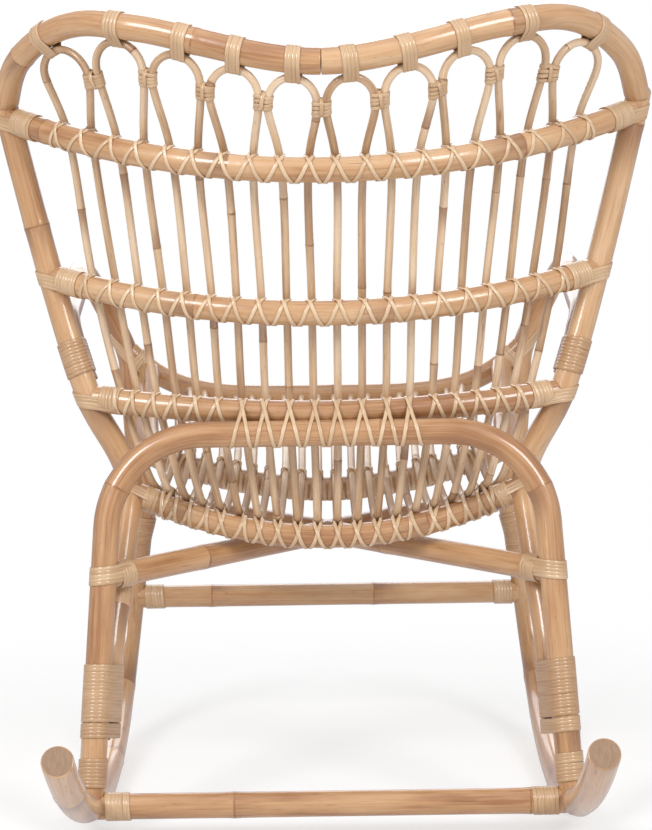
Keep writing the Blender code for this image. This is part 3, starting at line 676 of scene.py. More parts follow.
def ring_round(bars, spot, axis, strip):
    """A strip pulled tight round straight bars, in the plane through a spot square to an axis."""
    square = unit(axis)
    first = unit(np.cross(square, UPWARD if abs(square[2]) < 0.9 else ACROSS))
    angle = np.linspace(0.0, 2.0 * math.pi, RING_SAMPLES, endpoint=False)[:, None]
    pull = np.cos(angle) * first + np.sin(angle) * np.cross(square, first)
    reach = np.full(len(pull), -np.inf)
    points, outward = np.zeros_like(pull), np.zeros_like(pull)
    for centre, way, radius in bars:
        tilt = way @ square
        middle = centre + way * (((spot - centre) @ square) / tilt)
        leaning = way - square * tilt
        along_lean = unit(leaning) if np.linalg.norm(leaning) > 1e-4 else first
        narrow, wide = np.cross(square, along_lean) * radius, along_lean * (radius / abs(tilt))
        a, b = pull @ narrow, pull @ wide
        size = np.hypot(a, b)
        touch = middle + (a[:, None] * narrow + b[:, None] * wide) / size[:, None]
        support = pull @ (middle - spot) + size
        further = support > reach
        reach[further] = support[further]
        out = touch - centre
        out = unit(out - (out @ way)[:, None] * way)
        points[further] = (touch + out * (strip.thickness * SEATED))[further]
        outward[further] = out[further]
    total = lengths(np.vstack((points, points[:1])))
    s = np.linspace(0.0, total[-1], max(12, round(total[-1] / RING_STEP)), endpoint=False)
    points, outward = (between(np.vstack((v, v[:1])), total, s) for v in (points, outward))
    return Strand(points, unit(outward), True)


def pull_tight(loops, held, bars, strip):
    """Draw closed loops tight round bars; held points stay, and each strip lies flat on its bar."""
    def off(points, bar_set):
        centre, way, radius = bar_set
        out = points - centre[:, None]
        out = out - way[:, None] * (out * way[:, None]).sum(-1, keepdims=True)
        apart = np.linalg.norm(out, axis=-1, keepdims=True)
        return out / apart, apart - radius[:, None, None] - strip.thickness * SEATED

    for _ in range(TIGHTEN_ROUNDS):
        drawn = (np.roll(loops, 1, 1) + np.roll(loops, -1, 1)) / 2.0
        loops = np.where(held[..., None], loops, drawn)
        for bar_set in bars:
            out, clear = off(loops, bar_set)
            loops = loops - out * np.minimum(clear, 0.0)
    outward = 0.0
    for bar_set in bars:
        out, clear = off(loops, bar_set)
        outward = outward + out / (np.maximum(clear, 0.0) + 0.0004) ** 2
    return [Strand(points, unit(way), True) for points, way in zip(loops, outward)]


def bar_sets(sticks, spots):
    """Sticks near spots as sets of straight bars: points, directions and radii."""
    found = [bar(stick, spot) for stick, spot in zip(sticks, spots)]
    return tuple(np.array(column) for column in zip(*found))


def cross_lashing(rails, canes, spots, feet, strip):
    """Loops that tie canes to a rail: from beside each cane over its rear face down to a foot.

    A second rail that lies behind and under the first is tied in with it. The routes are rough:
    pulling them tight finds their course. Where the canes stand steep, the tops are held as well.
    """
    sets = [bar_sets([rail] * len(spots), spots) for rail in rails]
    cane_set = bar_sets(canes, spots)
    loops, held = [], np.zeros((len(feet), LOOP_SAMPLES), bool)
    held[:, 0] = True
    for i, foot in enumerate(feet):
        centre, way, radius = (column[i] for column in sets[0])
        last, last_way, last_radius = (column[i] for column in sets[-1])
        toward = square_part(cane_set[0][i] - centre, way)
        rise = np.cross(toward, way)
        rise = rise * np.sign(rise @ UPWARD)
        down, rear = square_part(FOOT_SIDE, last_way), square_part(-toward, last_way)
        r, lower_r = (size + strip.thickness * SEATED for size in (radius, last_radius))
        cane_r = cane_set[2][i]
        side = way * (-np.sign(foot) * (cane_r + strip.width * BESIDE_CANE))
        front = toward * (r + cane_r)
        inward = toward @ ACROSS * (r + cane_r)
        steep = abs(toward @ UPWARD) < STEEP
        top = centre + (side * PINCH + way * inward * TOP_INWARD if steep else side) + rise * r
        out = way * (foot + inward * FOOT_INWARD)
        route = np.array((
            last + out + down * lower_r,
            last + (out + side) / 2.0 + rear * lower_r,
            top,
            centre + side * 1.2 + front + rise * r,
            centre + toward * (r + 2.4 * cane_r) + rise * (0.3 * r),
            centre - side * 1.2 + front - rise * (0.3 * r),
            last + out + toward * lower_r - rise * (0.5 * lower_r),
            last + out + down * lower_r))
        run = lengths(route)
        loop = along(route, np.linspace(0.0, run[-1], LOOP_SAMPLES, endpoint=False))
        if steep:
            turn = round(run[2] / run[-1] * LOOP_SAMPLES)
            loop[turn] = top
            held[i, turn] = True
        loops.append(loop)
    return pull_tight(np.array(loops), held, sets + [cane_set], strip)


def zigzag_feet(rail, spots, strip):
    """How far each lashing's two feet lie from its cane: midway, and outward towards the ends."""
    run = np.array([rail.at(spot) for spot in spots]) - rail.length / 2.0
    gaps = np.diff(run)
    middles = run[:-1] + gaps * (0.5 + FOOT_LEAN * (run[:-1] + run[1:]) / (run[-1] - run[0]))
    half = strip.width * HALF_FOOT
    ahead = np.append(middles, run[-1] + gaps[-1] * OUTER_FOOT) - run - half
    behind = np.insert(middles, 0, run[0] - gaps[0] * OUTER_FOOT) - run + half
    return np.maximum(ahead, LEAST_FOOT), np.minimum(behind, -LEAST_FOOT)


def lay(strands, strip):
    """The strands, each raised where it crosses one laid before it."""
    laid, raised = [], []
    for strand in strands:
        height = np.zeros(len(strand.points))
        for other, other_height in laid:
            apart = np.linalg.norm(strand.points[:, None] - other[None], axis=2)
            under = other_height[apart.argmin(axis=1)] + strip.thickness
            cover = (strip.width - apart.min(axis=1)) / (LAP_EASE * strip.width)
            cover = np.clip(cover, 0.0, 1.0)
            height = np.maximum(height, under * cover * cover * (3.0 - 2.0 * cover))
        laid.append((strand.points, height))
        raised.append(strand._replace(points=strand.points + strand.outward * height[:, None]))
    return raised


def end_lashing(rail, holder, turns, count, strip, seed, start=END_START):
    """A strap of strands round a rail's holder and back along the rail, and a winding beside it."""
    gaps = [np.linalg.norm(bar(holder, end)[0] - end) for end in rail.path[[0, -1]]]
    at_start = gaps[0] < gaps[1]
    way = directions(rail.path)[0] if at_start else -directions(rail.path)[-1]
    end = rail.path[0 if at_start else -1]
    centre, rise, radius = bar(holder, end)
    square = square_part(rise, way)
    strands = []
    for k in range(count):
        h = (k - (count - 1) / 2.0) * strip.pitch
        half = math.sqrt(rail.radii[0] ** 2 - h * h) - STRAP_INSET
        bars = (centre, rise, radius), (end + way * STRAP_REACH, square, half)
        strands.append(ring_round(bars, centre + square * h, square, strip))
    away = start - np.linalg.norm(end - centre) + turns * strip.pitch / 2.0
    middle = away if at_start else rail.length - away
    return strands + [wound((rail,), middle, turns, strip, seed)]


# Node trees

class Net:
    """Adds nodes to a tree and joins their sockets."""

    def __init__(self, tree):
        self.tree = tree

    def node(self, kind, inputs=None, **settings):
        node = self.tree.nodes.new(kind)
        for key, value in settings.items():
            setattr(node, key, value)
        for key, value in (inputs or {}).items():
            if isinstance(value, bpy.types.NodeSocket):
                self.tree.links.new(value, node.inputs[key])
            else:
                node.inputs[key].default_value = value
        return node

    def add(self, kind, inputs=None, **settings):
        """The first output of a new node."""
        return self.node(kind, inputs, **settings).outputs[0]

    def math(self, operation, a, b=0.0, c=0.0):
        return self.add("ShaderNodeMath", {0: a, 1: b, 2: c}, operation=operation)

    def vector(self, operation, a, b=(0.0, 0.0, 0.0)):
        return self.add("ShaderNodeVectorMath", {0: a, 1: b}, operation=operation)

    def length(self, vector):
        sized = self.node("ShaderNodeVectorMath", {0: vector}, operation="LENGTH")
        return sized.outputs["Value"]

    def stored(self, name, kind="FLOAT"):
        """A value that the points of a geometry carry."""
        node = self.node("GeometryNodeInputNamedAttribute", {"Name": name}, data_type=kind)
        return node.outputs["Attribute"]

    def store(self, geometry, name, vector):
        return self.add("GeometryNodeStoreNamedAttribute",
                        {"Geometry": geometry, "Name": name, "Value": vector},
                        data_type="FLOAT_VECTOR", domain="POINT")

    def attribute(self, name, output="Fac"):
        """A value that the surface carries, in a material."""
        return self.node("ShaderNodeAttribute", attribute_name=name).outputs[output]

    def noise(self, vector, scale, detail=3.0, roughness=0.55):
        """Noise stretched by a scale for each axis of the grain."""
        node = self.node("ShaderNodeTexNoise", {
            "Vector": self.vector("MULTIPLY", vector, scale), "Scale": 1.0, "Detail": detail,
            "Roughness": roughness})
        return node.outputs["Fac"]

    def chance(self, number):
        """A random value for each number."""
        node = self.node("ShaderNodeTexWhiteNoise", {"W": number}, noise_dimensions="1D")
        return node.outputs["Value"]

    def ease(self, value, low, high, to_low, to_high):
        """A soft step from one value to another, between two limits."""
        node = self.node("ShaderNodeMapRange", {
            "Value": value, "From Min": low, "From Max": high, "To Min": to_low,
            "To Max": to_high}, interpolation_type="SMOOTHSTEP")
        return node.outputs["Result"]

    def tint(self, factor, base, colour):
        """A base colour with a share of another one."""
        node = self.node("ShaderNodeMix", {0: factor, 6: base, 7: (*colour, 1.0)},
                         data_type="RGBA")
        return node.outputs[2]

    def ramp(self, factor, *stops):
        """A colour ramp with its stops given as place and colour."""
        node = self.node("ShaderNodeValToRGB", {"Fac": factor})
        elements = node.color_ramp.elements
        while len(elements) < len(stops):
            elements.new(0.5)
        for element, (spot, colour) in zip(elements, stops):
            element.position = spot
            element.color = (*colour, 1.0)
        return node.outputs["Color"]


def new_tree(name, sockets):
    """A geometry tree with named inputs."""
    tree = bpy.data.node_groups.new(name, "GeometryNodeTree")
    for in_out in ("INPUT", "OUTPUT"):
        tree.interface.new_socket("Geometry", in_out=in_out, socket_type="NodeSocketGeometry")
    for label, kind in sockets:
        tree.interface.new_socket(label, in_out="INPUT", socket_type="NodeSocket" + kind)
    net = Net(tree)
    return tree, net, net.node("NodeGroupInput").outputs, net.node("NodeGroupOutput").inputs


def sweep_profile(net, curve, profile, scale):
    """Sweep a profile along curves and store where each point lies in the grain."""
    marked = net.store(profile, "around", net.add("GeometryNodeInputPosition"))
    mesh = net.add("GeometryNodeCurveToMesh", {
        "Curve": curve, "Profile Curve": marked, "Scale": scale, "Fill Caps": True})
    around = net.add("ShaderNodeVectorMath", {
        0: net.stored("around", "FLOAT_VECTOR"), "Scale": scale}, operation="SCALE")
    parts = net.node("ShaderNodeSeparateXYZ", {0: around}).outputs
    grain = net.add("ShaderNodeCombineXYZ", {0: parts[0], 1: parts[1], 2: net.stored("along")})
    return net.store(mesh, "grain", grain)


def finish_tree(net, mesh, skin, cut, end):
    """Shade the mesh and give its sides one material and its cut ends another."""
    corners = net.node("GeometryNodeInputMeshFaceNeighbors").outputs["Vertex Count"]
    is_cut = net.add("FunctionNodeCompare", {2: corners, 3: 4}, data_type="INT",
                     operation="GREATER_THAN")
    is_side = net.add("FunctionNodeBooleanMath", {0: is_cut}, operation="NOT")
    mesh = net.add("GeometryNodeSetShadeSmooth", {"Geometry": mesh, "Shade Smooth": is_side})
    mesh = net.add("GeometryNodeRealizeInstances", {"Geometry": mesh})
    mesh = net.add("GeometryNodeSetMaterial", {"Geometry": mesh, "Material": skin})
    mesh = net.add("GeometryNodeSetMaterial", {
        "Geometry": mesh, "Selection": is_cut, "Material": cut})
    net.tree.links.new(mesh, end[0])


def make_pole_tree():
    """Sweeps a round section of varying thickness along a line of edges."""
    tree, net, start, end = new_tree("bent_pole", (
        ("Sides", "Int"), ("Skin", "Material"), ("Cut End", "Material")))
    curve = net.add("GeometryNodeMeshToCurve", {"Mesh": start["Geometry"]})
    circle = net.add("GeometryNodeCurvePrimitiveCircle", {
        "Resolution": start["Sides"], "Radius": 1.0})
    mesh = sweep_profile(net, curve, circle, net.stored("thickness"))
    finish_tree(net, mesh, start["Skin"], start["Cut End"], end)
    return tree


def make_strip_tree():
    """Sweeps a flat oval strip along lines of edges, its broad side outward."""
    tree, net, start, end = new_tree("flat_cane_strip", (
        ("Section", "Vector"), ("Skin", "Material")))
    curve = net.add("GeometryNodeMeshToCurve", {"Mesh": start["Geometry"]})
    curve = net.add("GeometryNodeSetCurveNormal", {
        "Curve": curve, "Normal": net.stored("outward", "FLOAT_VECTOR")}, mode="FREE")
    oval = net.add("GeometryNodeCurvePrimitiveCircle", {"Resolution": OVAL_SIDES, "Radius": 1.0})
    spot = net.add("GeometryNodeInputPosition")
    flatter = net.vector("POWER", net.vector("ABSOLUTE", spot), (FLATNESS, FLATNESS, 1.0))
    spot = net.vector("MULTIPLY", flatter, net.vector("SIGN", spot))
    oval = net.add("GeometryNodeSetPosition", {"Geometry": oval, "Position": spot})
    oval = net.add("GeometryNodeTransform", {"Geometry": oval, "Scale": start["Section"]})
    mesh = sweep_profile(net, curve, oval, net.stored("fullness"))
    finish_tree(net, mesh, start["Skin"], start["Skin"], end)
    return tree


def chain_mesh(name, chains, attributes):
    """A mesh of edge chains, closed or open, with values on its points."""
    edges, start = [], 0
    for points, closed in chains:
        count = len(points)
        edges += [(start + i, start + i + 1) for i in range(count - 1)]
        if closed:
            edges.append((start + count - 1, start))
        start += count
    mesh = bpy.data.meshes.new(name)
    mesh.from_pydata(np.vstack([points for points, _ in chains]).tolist(), edges, [])
    for key, values in attributes.items():
        values = np.asarray(values, np.float32)
        kind, field = ("FLOAT_VECTOR", "vector") if values.ndim == 2 else ("FLOAT", "value")
        mesh.attributes.new(key, kind, "POINT").data.foreach_set(field, values.ravel())
    return mesh


def grow(name, line, tree, inputs, nodes=()):
    """Run a tree on a line, keep the result as a plain mesh and hang it on the frame."""
    source = bpy.data.objects.new(name + "_line", line)
    bpy.context.scene.collection.objects.link(source)
    modifier = source.modifiers.new(tree.name, "NODES")
    modifier.node_group = tree
    sockets = {item.name: item.identifier for item in tree.interface.items_tree
               if item.in_out == "INPUT"}
    for label, value in inputs.items():
        modifier[sockets[label]] = value
    graph = bpy.context.evaluated_depsgraph_get()
    mesh = bpy.data.meshes.new_from_object(
        source.evaluated_get(graph), preserve_all_data_layers=True, depsgraph=graph)
    source.modifiers.remove(modifier)
    bpy.data.objects.remove(source)
    if not mesh.polygons:
        raise RuntimeError(name + " came out empty")
    mesh.name = name
    piece = bpy.data.objects.new(name, mesh)
    bpy.context.scene.collection.objects.link(piece)
    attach(piece, "root")
    if nodes:
        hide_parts(*nodes)
    return piece


# Materials

def new_material(name, roughness, coat, coat_roughness):
    material = bpy.data.materials.new(name)
    material.use_nodes = True
    shader = material.node_tree.nodes["Principled BSDF"].inputs
    shader["Roughness"].default_value = roughness
    shader["Coat Weight"].default_value = coat
    shader["Coat Roughness"].default_value = coat_roughness
    return material, Net(material.node_tree), shader


def finish_material(net, shader, colour, height, strength, depth):
    """Give a shader its colour and a fine relief."""
    bump = net.add("ShaderNodeBump", {"Height": height, "Strength": strength, "Distance": depth})
    net.tree.links.new(colour, shader["Base Color"])
    net.tree.links.new(bump, shader["Normal"])


def make_skin(name, look):
    """Lacquered rattan skin: streaks along the grain, patches, and a ring at each growth joint."""
    material, net, shader = new_material(name, look.roughness, look.gloss, look.gloss_roughness)
    grain, growth = net.attribute("grain", "Vector"), net.attribute("growth")
    streaks = net.noise(grain, STREAKS, 4.0, 0.6)
    patches = net.noise(grain, PATCHES)
    clouds = net.noise(grain, CLOUDS, 2.0)
    joint, after = net.math("FLOOR", growth), net.math("FRACT", growth)
    internode, marked = net.chance(joint), net.chance(net.math("ADD", joint, 0.37))
    tone = net.math("MULTIPLY_ADD", streaks, 0.35, net.math("MULTIPLY", patches, 0.65))
    unlike = net.math("MULTIPLY_ADD", internode, look.unlike, -0.5 * look.unlike)
    # The stored tone shift darkens or lightens a whole pole: painted shade or light.
    tone = net.math("ADD", net.math("ADD", tone, unlike), net.attribute("tone"))
    colour = net.ramp(tone, (0.34, look.deep), (0.45, look.middle), (0.56, look.light),
                      (0.68, look.pale))
    # Dark line round each growth joint, broken by the streaks
    apart = net.math("ADD", net.math("PINGPONG", growth, 0.5), -0.008)
    uneven = net.math("MULTIPLY_ADD", clouds, 0.016, apart)
    line = net.math("MULTIPLY", net.ease(uneven, 0.0005, look.ring_width, 1.0, 0.0),
                    net.ease(streaks, 0.35, 0.55, 0.45, 0.95))
    # Stains after the joints, smears anywhere, and smudges at some joints
    patchy = net.math("ADD", patches, net.math("MULTIPLY_ADD", internode, 0.3, -0.15))
    stain = net.math("MULTIPLY", net.ease(after, 0.0, 0.22, 1.0, 0.0),
                     net.ease(patchy, 0.48, 0.66, 0.0, 0.8))
    smears = net.noise(grain, SMEARS, 3.0, 0.65)
    stain = net.math("MAXIMUM", stain, net.ease(smears, 0.62, 0.76, 0.0, 0.7))
    smudge = net.math(
        "MULTIPLY", net.ease(marked, 0.52, 0.60, 0.0, look.smudge),
        net.ease(net.math("MULTIPLY_ADD", clouds, 0.10, after), 0.05, 0.16, 1.0, 0.0))
    smudge = net.math("MULTIPLY", smudge, net.ease(streaks, 0.38, 0.60, 1.0, 0.45))
    stain = net.math("MAXIMUM", stain, smudge)
    specks = net.ease(net.noise(grain, SPECKS, 2.0), 0.67, 0.75, 0.0, 0.6)
    dashes = net.ease(net.noise(grain, DASHES, 2.0), 0.63, 0.72, 0.0, 0.5)
    fleck = net.math("MAXIMUM", specks, dashes)
    for share, mark in ((stain, look.stain), (fleck, look.stain), (line, look.ring)):
        colour = net.tint(share, colour, mark)
    height = net.math("MULTIPLY_ADD", streaks, 0.5, net.math("MULTIPLY", line, -0.4))
    finish_material(net, shader, colour, height, 0.18, 0.0006)
    return material


def make_strip_skin(look):
    """Flat cane: fine fibres along the strip, and painted shade at its edges for the dark gaps
    between strands.
    """
    material, net, shader = new_material(
        "flat_cane", look.roughness, look.gloss, look.gloss_roughness)
    grain = net.attribute("grain", "Vector")
    fibres = net.noise(grain, FIBRES, 3.0, 0.6)
    patches = net.noise(grain, FIBRE_PATCHES, 2.0)
    tone = net.math("MULTIPLY_ADD", fibres, 0.30, net.math("MULTIPLY", patches, 0.40))
    tone = net.math("MULTIPLY_ADD", net.attribute("shade"), 0.6, net.math("ADD", tone, -0.10))
    colour = net.ramp(tone, (0.25, look.deep), (0.50, look.middle), (0.80, look.pale))
    # Painted shade: the strip darkens towards its edges, standing for the shade in the gaps between
    # strands.
    across = net.math("ABSOLUTE", net.node("ShaderNodeSeparateXYZ", {0: grain}).outputs[1])
    edge = net.ease(across, look.width * 0.34, look.width * 0.50, 0.0, 0.45)
    colour = net.tint(edge, colour, look.edge)
    finish_material(net, shader, colour, fibres, 0.2, 0.0003)
    return material


def make_cut_end(look):
    """Sawn end of a pole: tan pith with fine pores and a darker rim."""
    material, net, shader = new_material("cut_end", 0.6, 0.2, 0.35)
    flat = net.vector("MULTIPLY", net.attribute("grain", "Vector"), (1.0, 1.0, 0.0))
    pores = net.noise(flat, PORES, 2.0)
    colour = net.ramp(net.noise(flat, PITH), (0.30, look.pith), (0.70, look.pale_pith))
    rim = net.ease(net.length(flat), 0.0145, 0.0165, 0.0, 0.45)
    for share in (net.ease(pores, 0.58, 0.72, 0.0, 0.4), rim):
        colour = net.tint(share, colour, look.stain)
    finish_material(net, shader, colour, pores, 0.2, 0.0003)
    return material


def shared(kind, name, make):
    """A material or tree by its name, made the first time it is asked for."""
    return kind.get(name) or make()


# Settings

def colour_property(name, description, default):
    return FloatVectorProperty(name=name, description=description, default=default, size=3,
                               min=0.0, max=1.0, subtype="COLOR")


def length_property(name, description, default):
    return FloatProperty(name=name, description=description, default=default, min=0.0,
                         precision=4, unit="LENGTH")


def share_property(name, description, default):
    return FloatProperty(name=name, description=description, default=default, min=0.0, max=1.0,
                         subtype="FACTOR")


def power_property(name, description, default):
    return FloatProperty(name=name, description=description, default=default, min=0.0,
                         unit="POWER")


class PoleLook(bpy.types.PropertyGroup):
    """Lacquered poles."""
    deep: colour_property("Deep", "Darkest streaks of the skin", (0.33, 0.148, 0.056))
    middle: colour_property("Middle", "Usual colour of the skin", (0.475, 0.255, 0.114))
    light: colour_property("Light", "Lighter streaks of the skin", (0.55, 0.325, 0.163))
    pale: colour_property("Pale", "Palest streaks of the skin", (0.615, 0.40, 0.228))
    stain: colour_property("Stain", "Stains beside the growth joints", (0.25, 0.11, 0.045))
    ring: colour_property("Ring", "Line at each growth joint", (0.27, 0.110, 0.036))
    pith: colour_property("Pith", "Sawn ends", (0.240, 0.142, 0.078))
    pale_pith: colour_property("Pale Pith", "Paler sawn ends", (0.315, 0.200, 0.120))
    roughness: share_property("Roughness", "Roughness under the lacquer", 0.42)
    gloss: share_property("Lacquer", "Amount of lacquer", 0.9)
    gloss_roughness: share_property("Lacquer Roughness", "Roughness of the lacquer", 0.15)
    unlike: share_property("Unlike", "How much stretches between joints differ in tone", 0.14)
    smudge: share_property("Smudge", "How dark the smudges beside some joints are", 0.5)
    ring_width: share_property("Ring Width", "Half width of a ring, per joint spacing", 0.006)
    spacing: length_property("Joint Spacing", "Usual distance between growth joints", 0.26)
    swell: share_property("Joint Swell", "How much thicker a pole is at a joint", 0.035)
    sides: IntProperty(name="Sides", description="Facets round a pole", default=32, min=8, max=64)


class CaneLook(bpy.types.PropertyGroup):
    """Hoop canes."""
    deep: colour_property("Deep", "Darkest streaks of the skin", (0.41, 0.245, 0.130))
    middle: colour_property("Middle", "Usual colour of the skin", (0.57, 0.38, 0.225))
    light: colour_property("Light", "Lighter streaks of the skin", (0.67, 0.48, 0.310))
    pale: colour_property("Pale", "Palest streaks of the skin", (0.74, 0.58, 0.41))
    stain: colour_property("Stain", "Stains beside the growth joints", (0.28, 0.13, 0.060))
    ring: colour_property("Ring", "Line at each growth joint", (0.28, 0.120, 0.045))
    roughness: share_property("Roughness", "Roughness under the lacquer", 0.45)
    gloss: share_property("Lacquer", "Amount of lacquer", 0.7)
    gloss_roughness: share_property("Lacquer Roughness", "Roughness of the lacquer", 0.2)
    unlike: share_property("Unlike", "How much stretches between joints differ in tone", 0.19)
    smudge: share_property("Smudge", "How dark the smudges beside some joints are", 0.75)
    ring_width: share_property("Ring Width", "Half width of a ring, per joint spacing", 0.008)
    spacing: length_property("Joint Spacing", "Usual distance between growth joints", 0.19)
    swell: share_property("Joint Swell", "How much thicker a cane is at a joint", 0.06)
    sides: IntProperty(name="Sides", description="Facets round a cane", default=14, min=6, max=32)


class StripLook(bpy.types.PropertyGroup):
    """Flat cane strips."""
    deep: colour_property("Deep", "Darkest fibres", (0.38, 0.205, 0.095))
    middle: colour_property("Middle", "Usual colour", (0.53, 0.345, 0.195))
    pale: colour_property("Pale", "Palest fibres", (0.70, 0.52, 0.34))
    # Colour of the painted shade at a strip's edges, for the gaps between strands
    edge: colour_property("Edge", "Edges of the strip", (0.33, 0.175, 0.080))
    roughness: share_property("Roughness", "Roughness of the strip", 0.45)
    gloss: share_property("Lacquer", "Amount of lacquer", 0.6)
    gloss_roughness: share_property("Lacquer Roughness", "Roughness of the lacquer", 0.16)
    width: length_property("Width", "Width of a strip", 0.0044)
    thickness: length_property("Thickness", "Thickness of a strip", 0.0014)
    overlap: length_property("Overlap", "How far one turn lies over the next", 0.0006)

    @property
    def pitch(self):
        return self.width - self.overlap


class StageLook(bpy.types.PropertyGroup):
    """Floor, lights and camera."""
    floor: colour_property("Floor", "Colour of the floor", (0.90, 0.90, 0.90))
    floor_size: length_property("Floor Size", "Length of the floor's sides", 60.0)
    whiteness: share_property("Whiteness", "How plain white the floor looks to the camera", 0.6)
    reflection: colour_property(
        "Reflection", "Tint of the surroundings in the lacquer", (0.93, 0.90, 1.0))
    reflected: share_property("Reflected", "How bright the surroundings are in the lacquer", 0.55)
    ambient: FloatProperty(
        name="Ambient", description="Strength of the white surroundings", default=0.46, min=0.0)
    key: power_property("Key", "Power of the key light", 60.0)
    fill: power_property("Fill", "Power of the fill light", 51.0)
    top: power_property("Top", "Power of the light overhead", 13.0)
    front: power_property("Front", "Power of the light before the seat", 24.0)


# Pieces

def joint_growth(stick, spacing, seed):
    """How many growth joints lie before each point of a stick, as a steady count."""
    draw = random.Random(seed)
    marks = [-draw.uniform(0.1, 0.9) * spacing]
    while marks[-1] < stick.length:
        marks.append(marks[-1] + spacing * draw.uniform(0.75, 1.25))
    return np.interp(stick.run, marks, np.arange(len(marks))) + GROWTH_APART * seed


def rounded_ends(stick, radii):
    """The radii with the edges of both ends eased."""
    edge = np.minimum(stick.run, stick.length - stick.run)
    short = (1.0 - np.clip(edge / EDGE_EASE, 0.0, 1.0)) ** 2
    return radii - EDGE_EASE * (1.0 - np.sqrt(np.clip(1.0 - short, 0.0, 1.0)))


def add_stick(name, node, stick, look, skin, seed, tone=0.0):
    """A pole or cane with growth joints; a pole's tone shift is painted shade or light."""
    growth = joint_growth(stick, look.spacing, seed)
    apart = np.abs(growth - np.round(growth)) * look.spacing
    swell = np.exp(-(apart / RIDGE_WIDTH) ** 2) + SWELL_SHARE * np.exp(-(apart / SWELL_WIDTH) ** 2)
    radii = stick.radii * (1.0 + look.swell * swell)
    line = chain_mesh(name, [(stick.path, False)], {
        "thickness": rounded_ends(stick, radii), "growth": growth,
        "along": stick.run + GRAIN_APART * seed, "tone": np.full(len(radii), tone)})
    return grow(name, line, shared(bpy.data.node_groups, "bent_pole", make_pole_tree), {
        "Sides": look.sides, "Skin": skin, "Cut End": bpy.data.materials["cut_end"]},
        (node,))


def add_strands(name, strands, nodes=(), shade=WINDING_SHADE, seed=0):
    """Strands of flat cane as one piece, each of its own width and shade."""
    strip = bpy.context.scene.chair_strips
    reach, widths, shades = [], [], []
    draw = random.Random(seed)
    for strand in strands:
        count = len(strand.points)
        reach.append(lengths(strand.points) + draw.uniform(0.0, 9.0))
        widths.append(np.full(count, draw.uniform(0.95, 1.04)))
        shades.append(np.full(count, shade + draw.uniform(-0.12, 0.12)))
    line = chain_mesh(name, [(s.points, s.closed) for s in strands], {
        "outward": np.vstack([s.outward for s in strands]), "along": np.concatenate(reach),
        "fullness": np.concatenate(widths), "shade": np.concatenate(shades)})
    skin = shared(bpy.data.materials, "flat_cane", lambda: make_strip_skin(strip))
    return grow(name, line, shared(bpy.data.node_groups, "flat_cane_strip", make_strip_tree), {
        "Section": (strip.thickness * OVAL_HALF, strip.width / 2.0, 1.0), "Skin": skin},
        nodes)


class CHAIR_OT_poles(bpy.types.Operator):
    """Bend the poles of the frame, back, arms and rockers"""
    bl_idname = "chair.poles"
    bl_label = "Poles"

    def execute(self, context):
        look = context.scene.chair_poles
        skin = shared(bpy.data.materials, "lacquered_pole",
                      lambda: make_skin("lacquered_pole", look))
        shared(bpy.data.materials, "cut_end", lambda: make_cut_end(look))
        for seed, (name, stick) in enumerate(sorted(STICKS.items())):
            add_stick(name + "_pole", name, stick.with_fine_ends(), look, skin, seed + 1,
                      POLE_SHADE_AND_LIGHT_TONES.get(name, 0.0))
        return {"FINISHED"}


class CHAIR_OT_canes(bpy.types.Operator):
    """Bend the hoop canes of the seat and back"""
    bl_idname = "chair.canes"
    bl_label = "Hoop Canes"

    def execute(self, context):
        look = context.scene.chair_canes
        skin = shared(bpy.data.materials, "hoop_cane", lambda: make_skin("hoop_cane", look))
        for loop, cane in enumerate(CANES):
            name = "hoop_cane_%02d" % (loop + 1)
            add_stick(name + "_bent", name, cane, look, skin, CANE_SEED + loop)
        return {"FINISHED"}


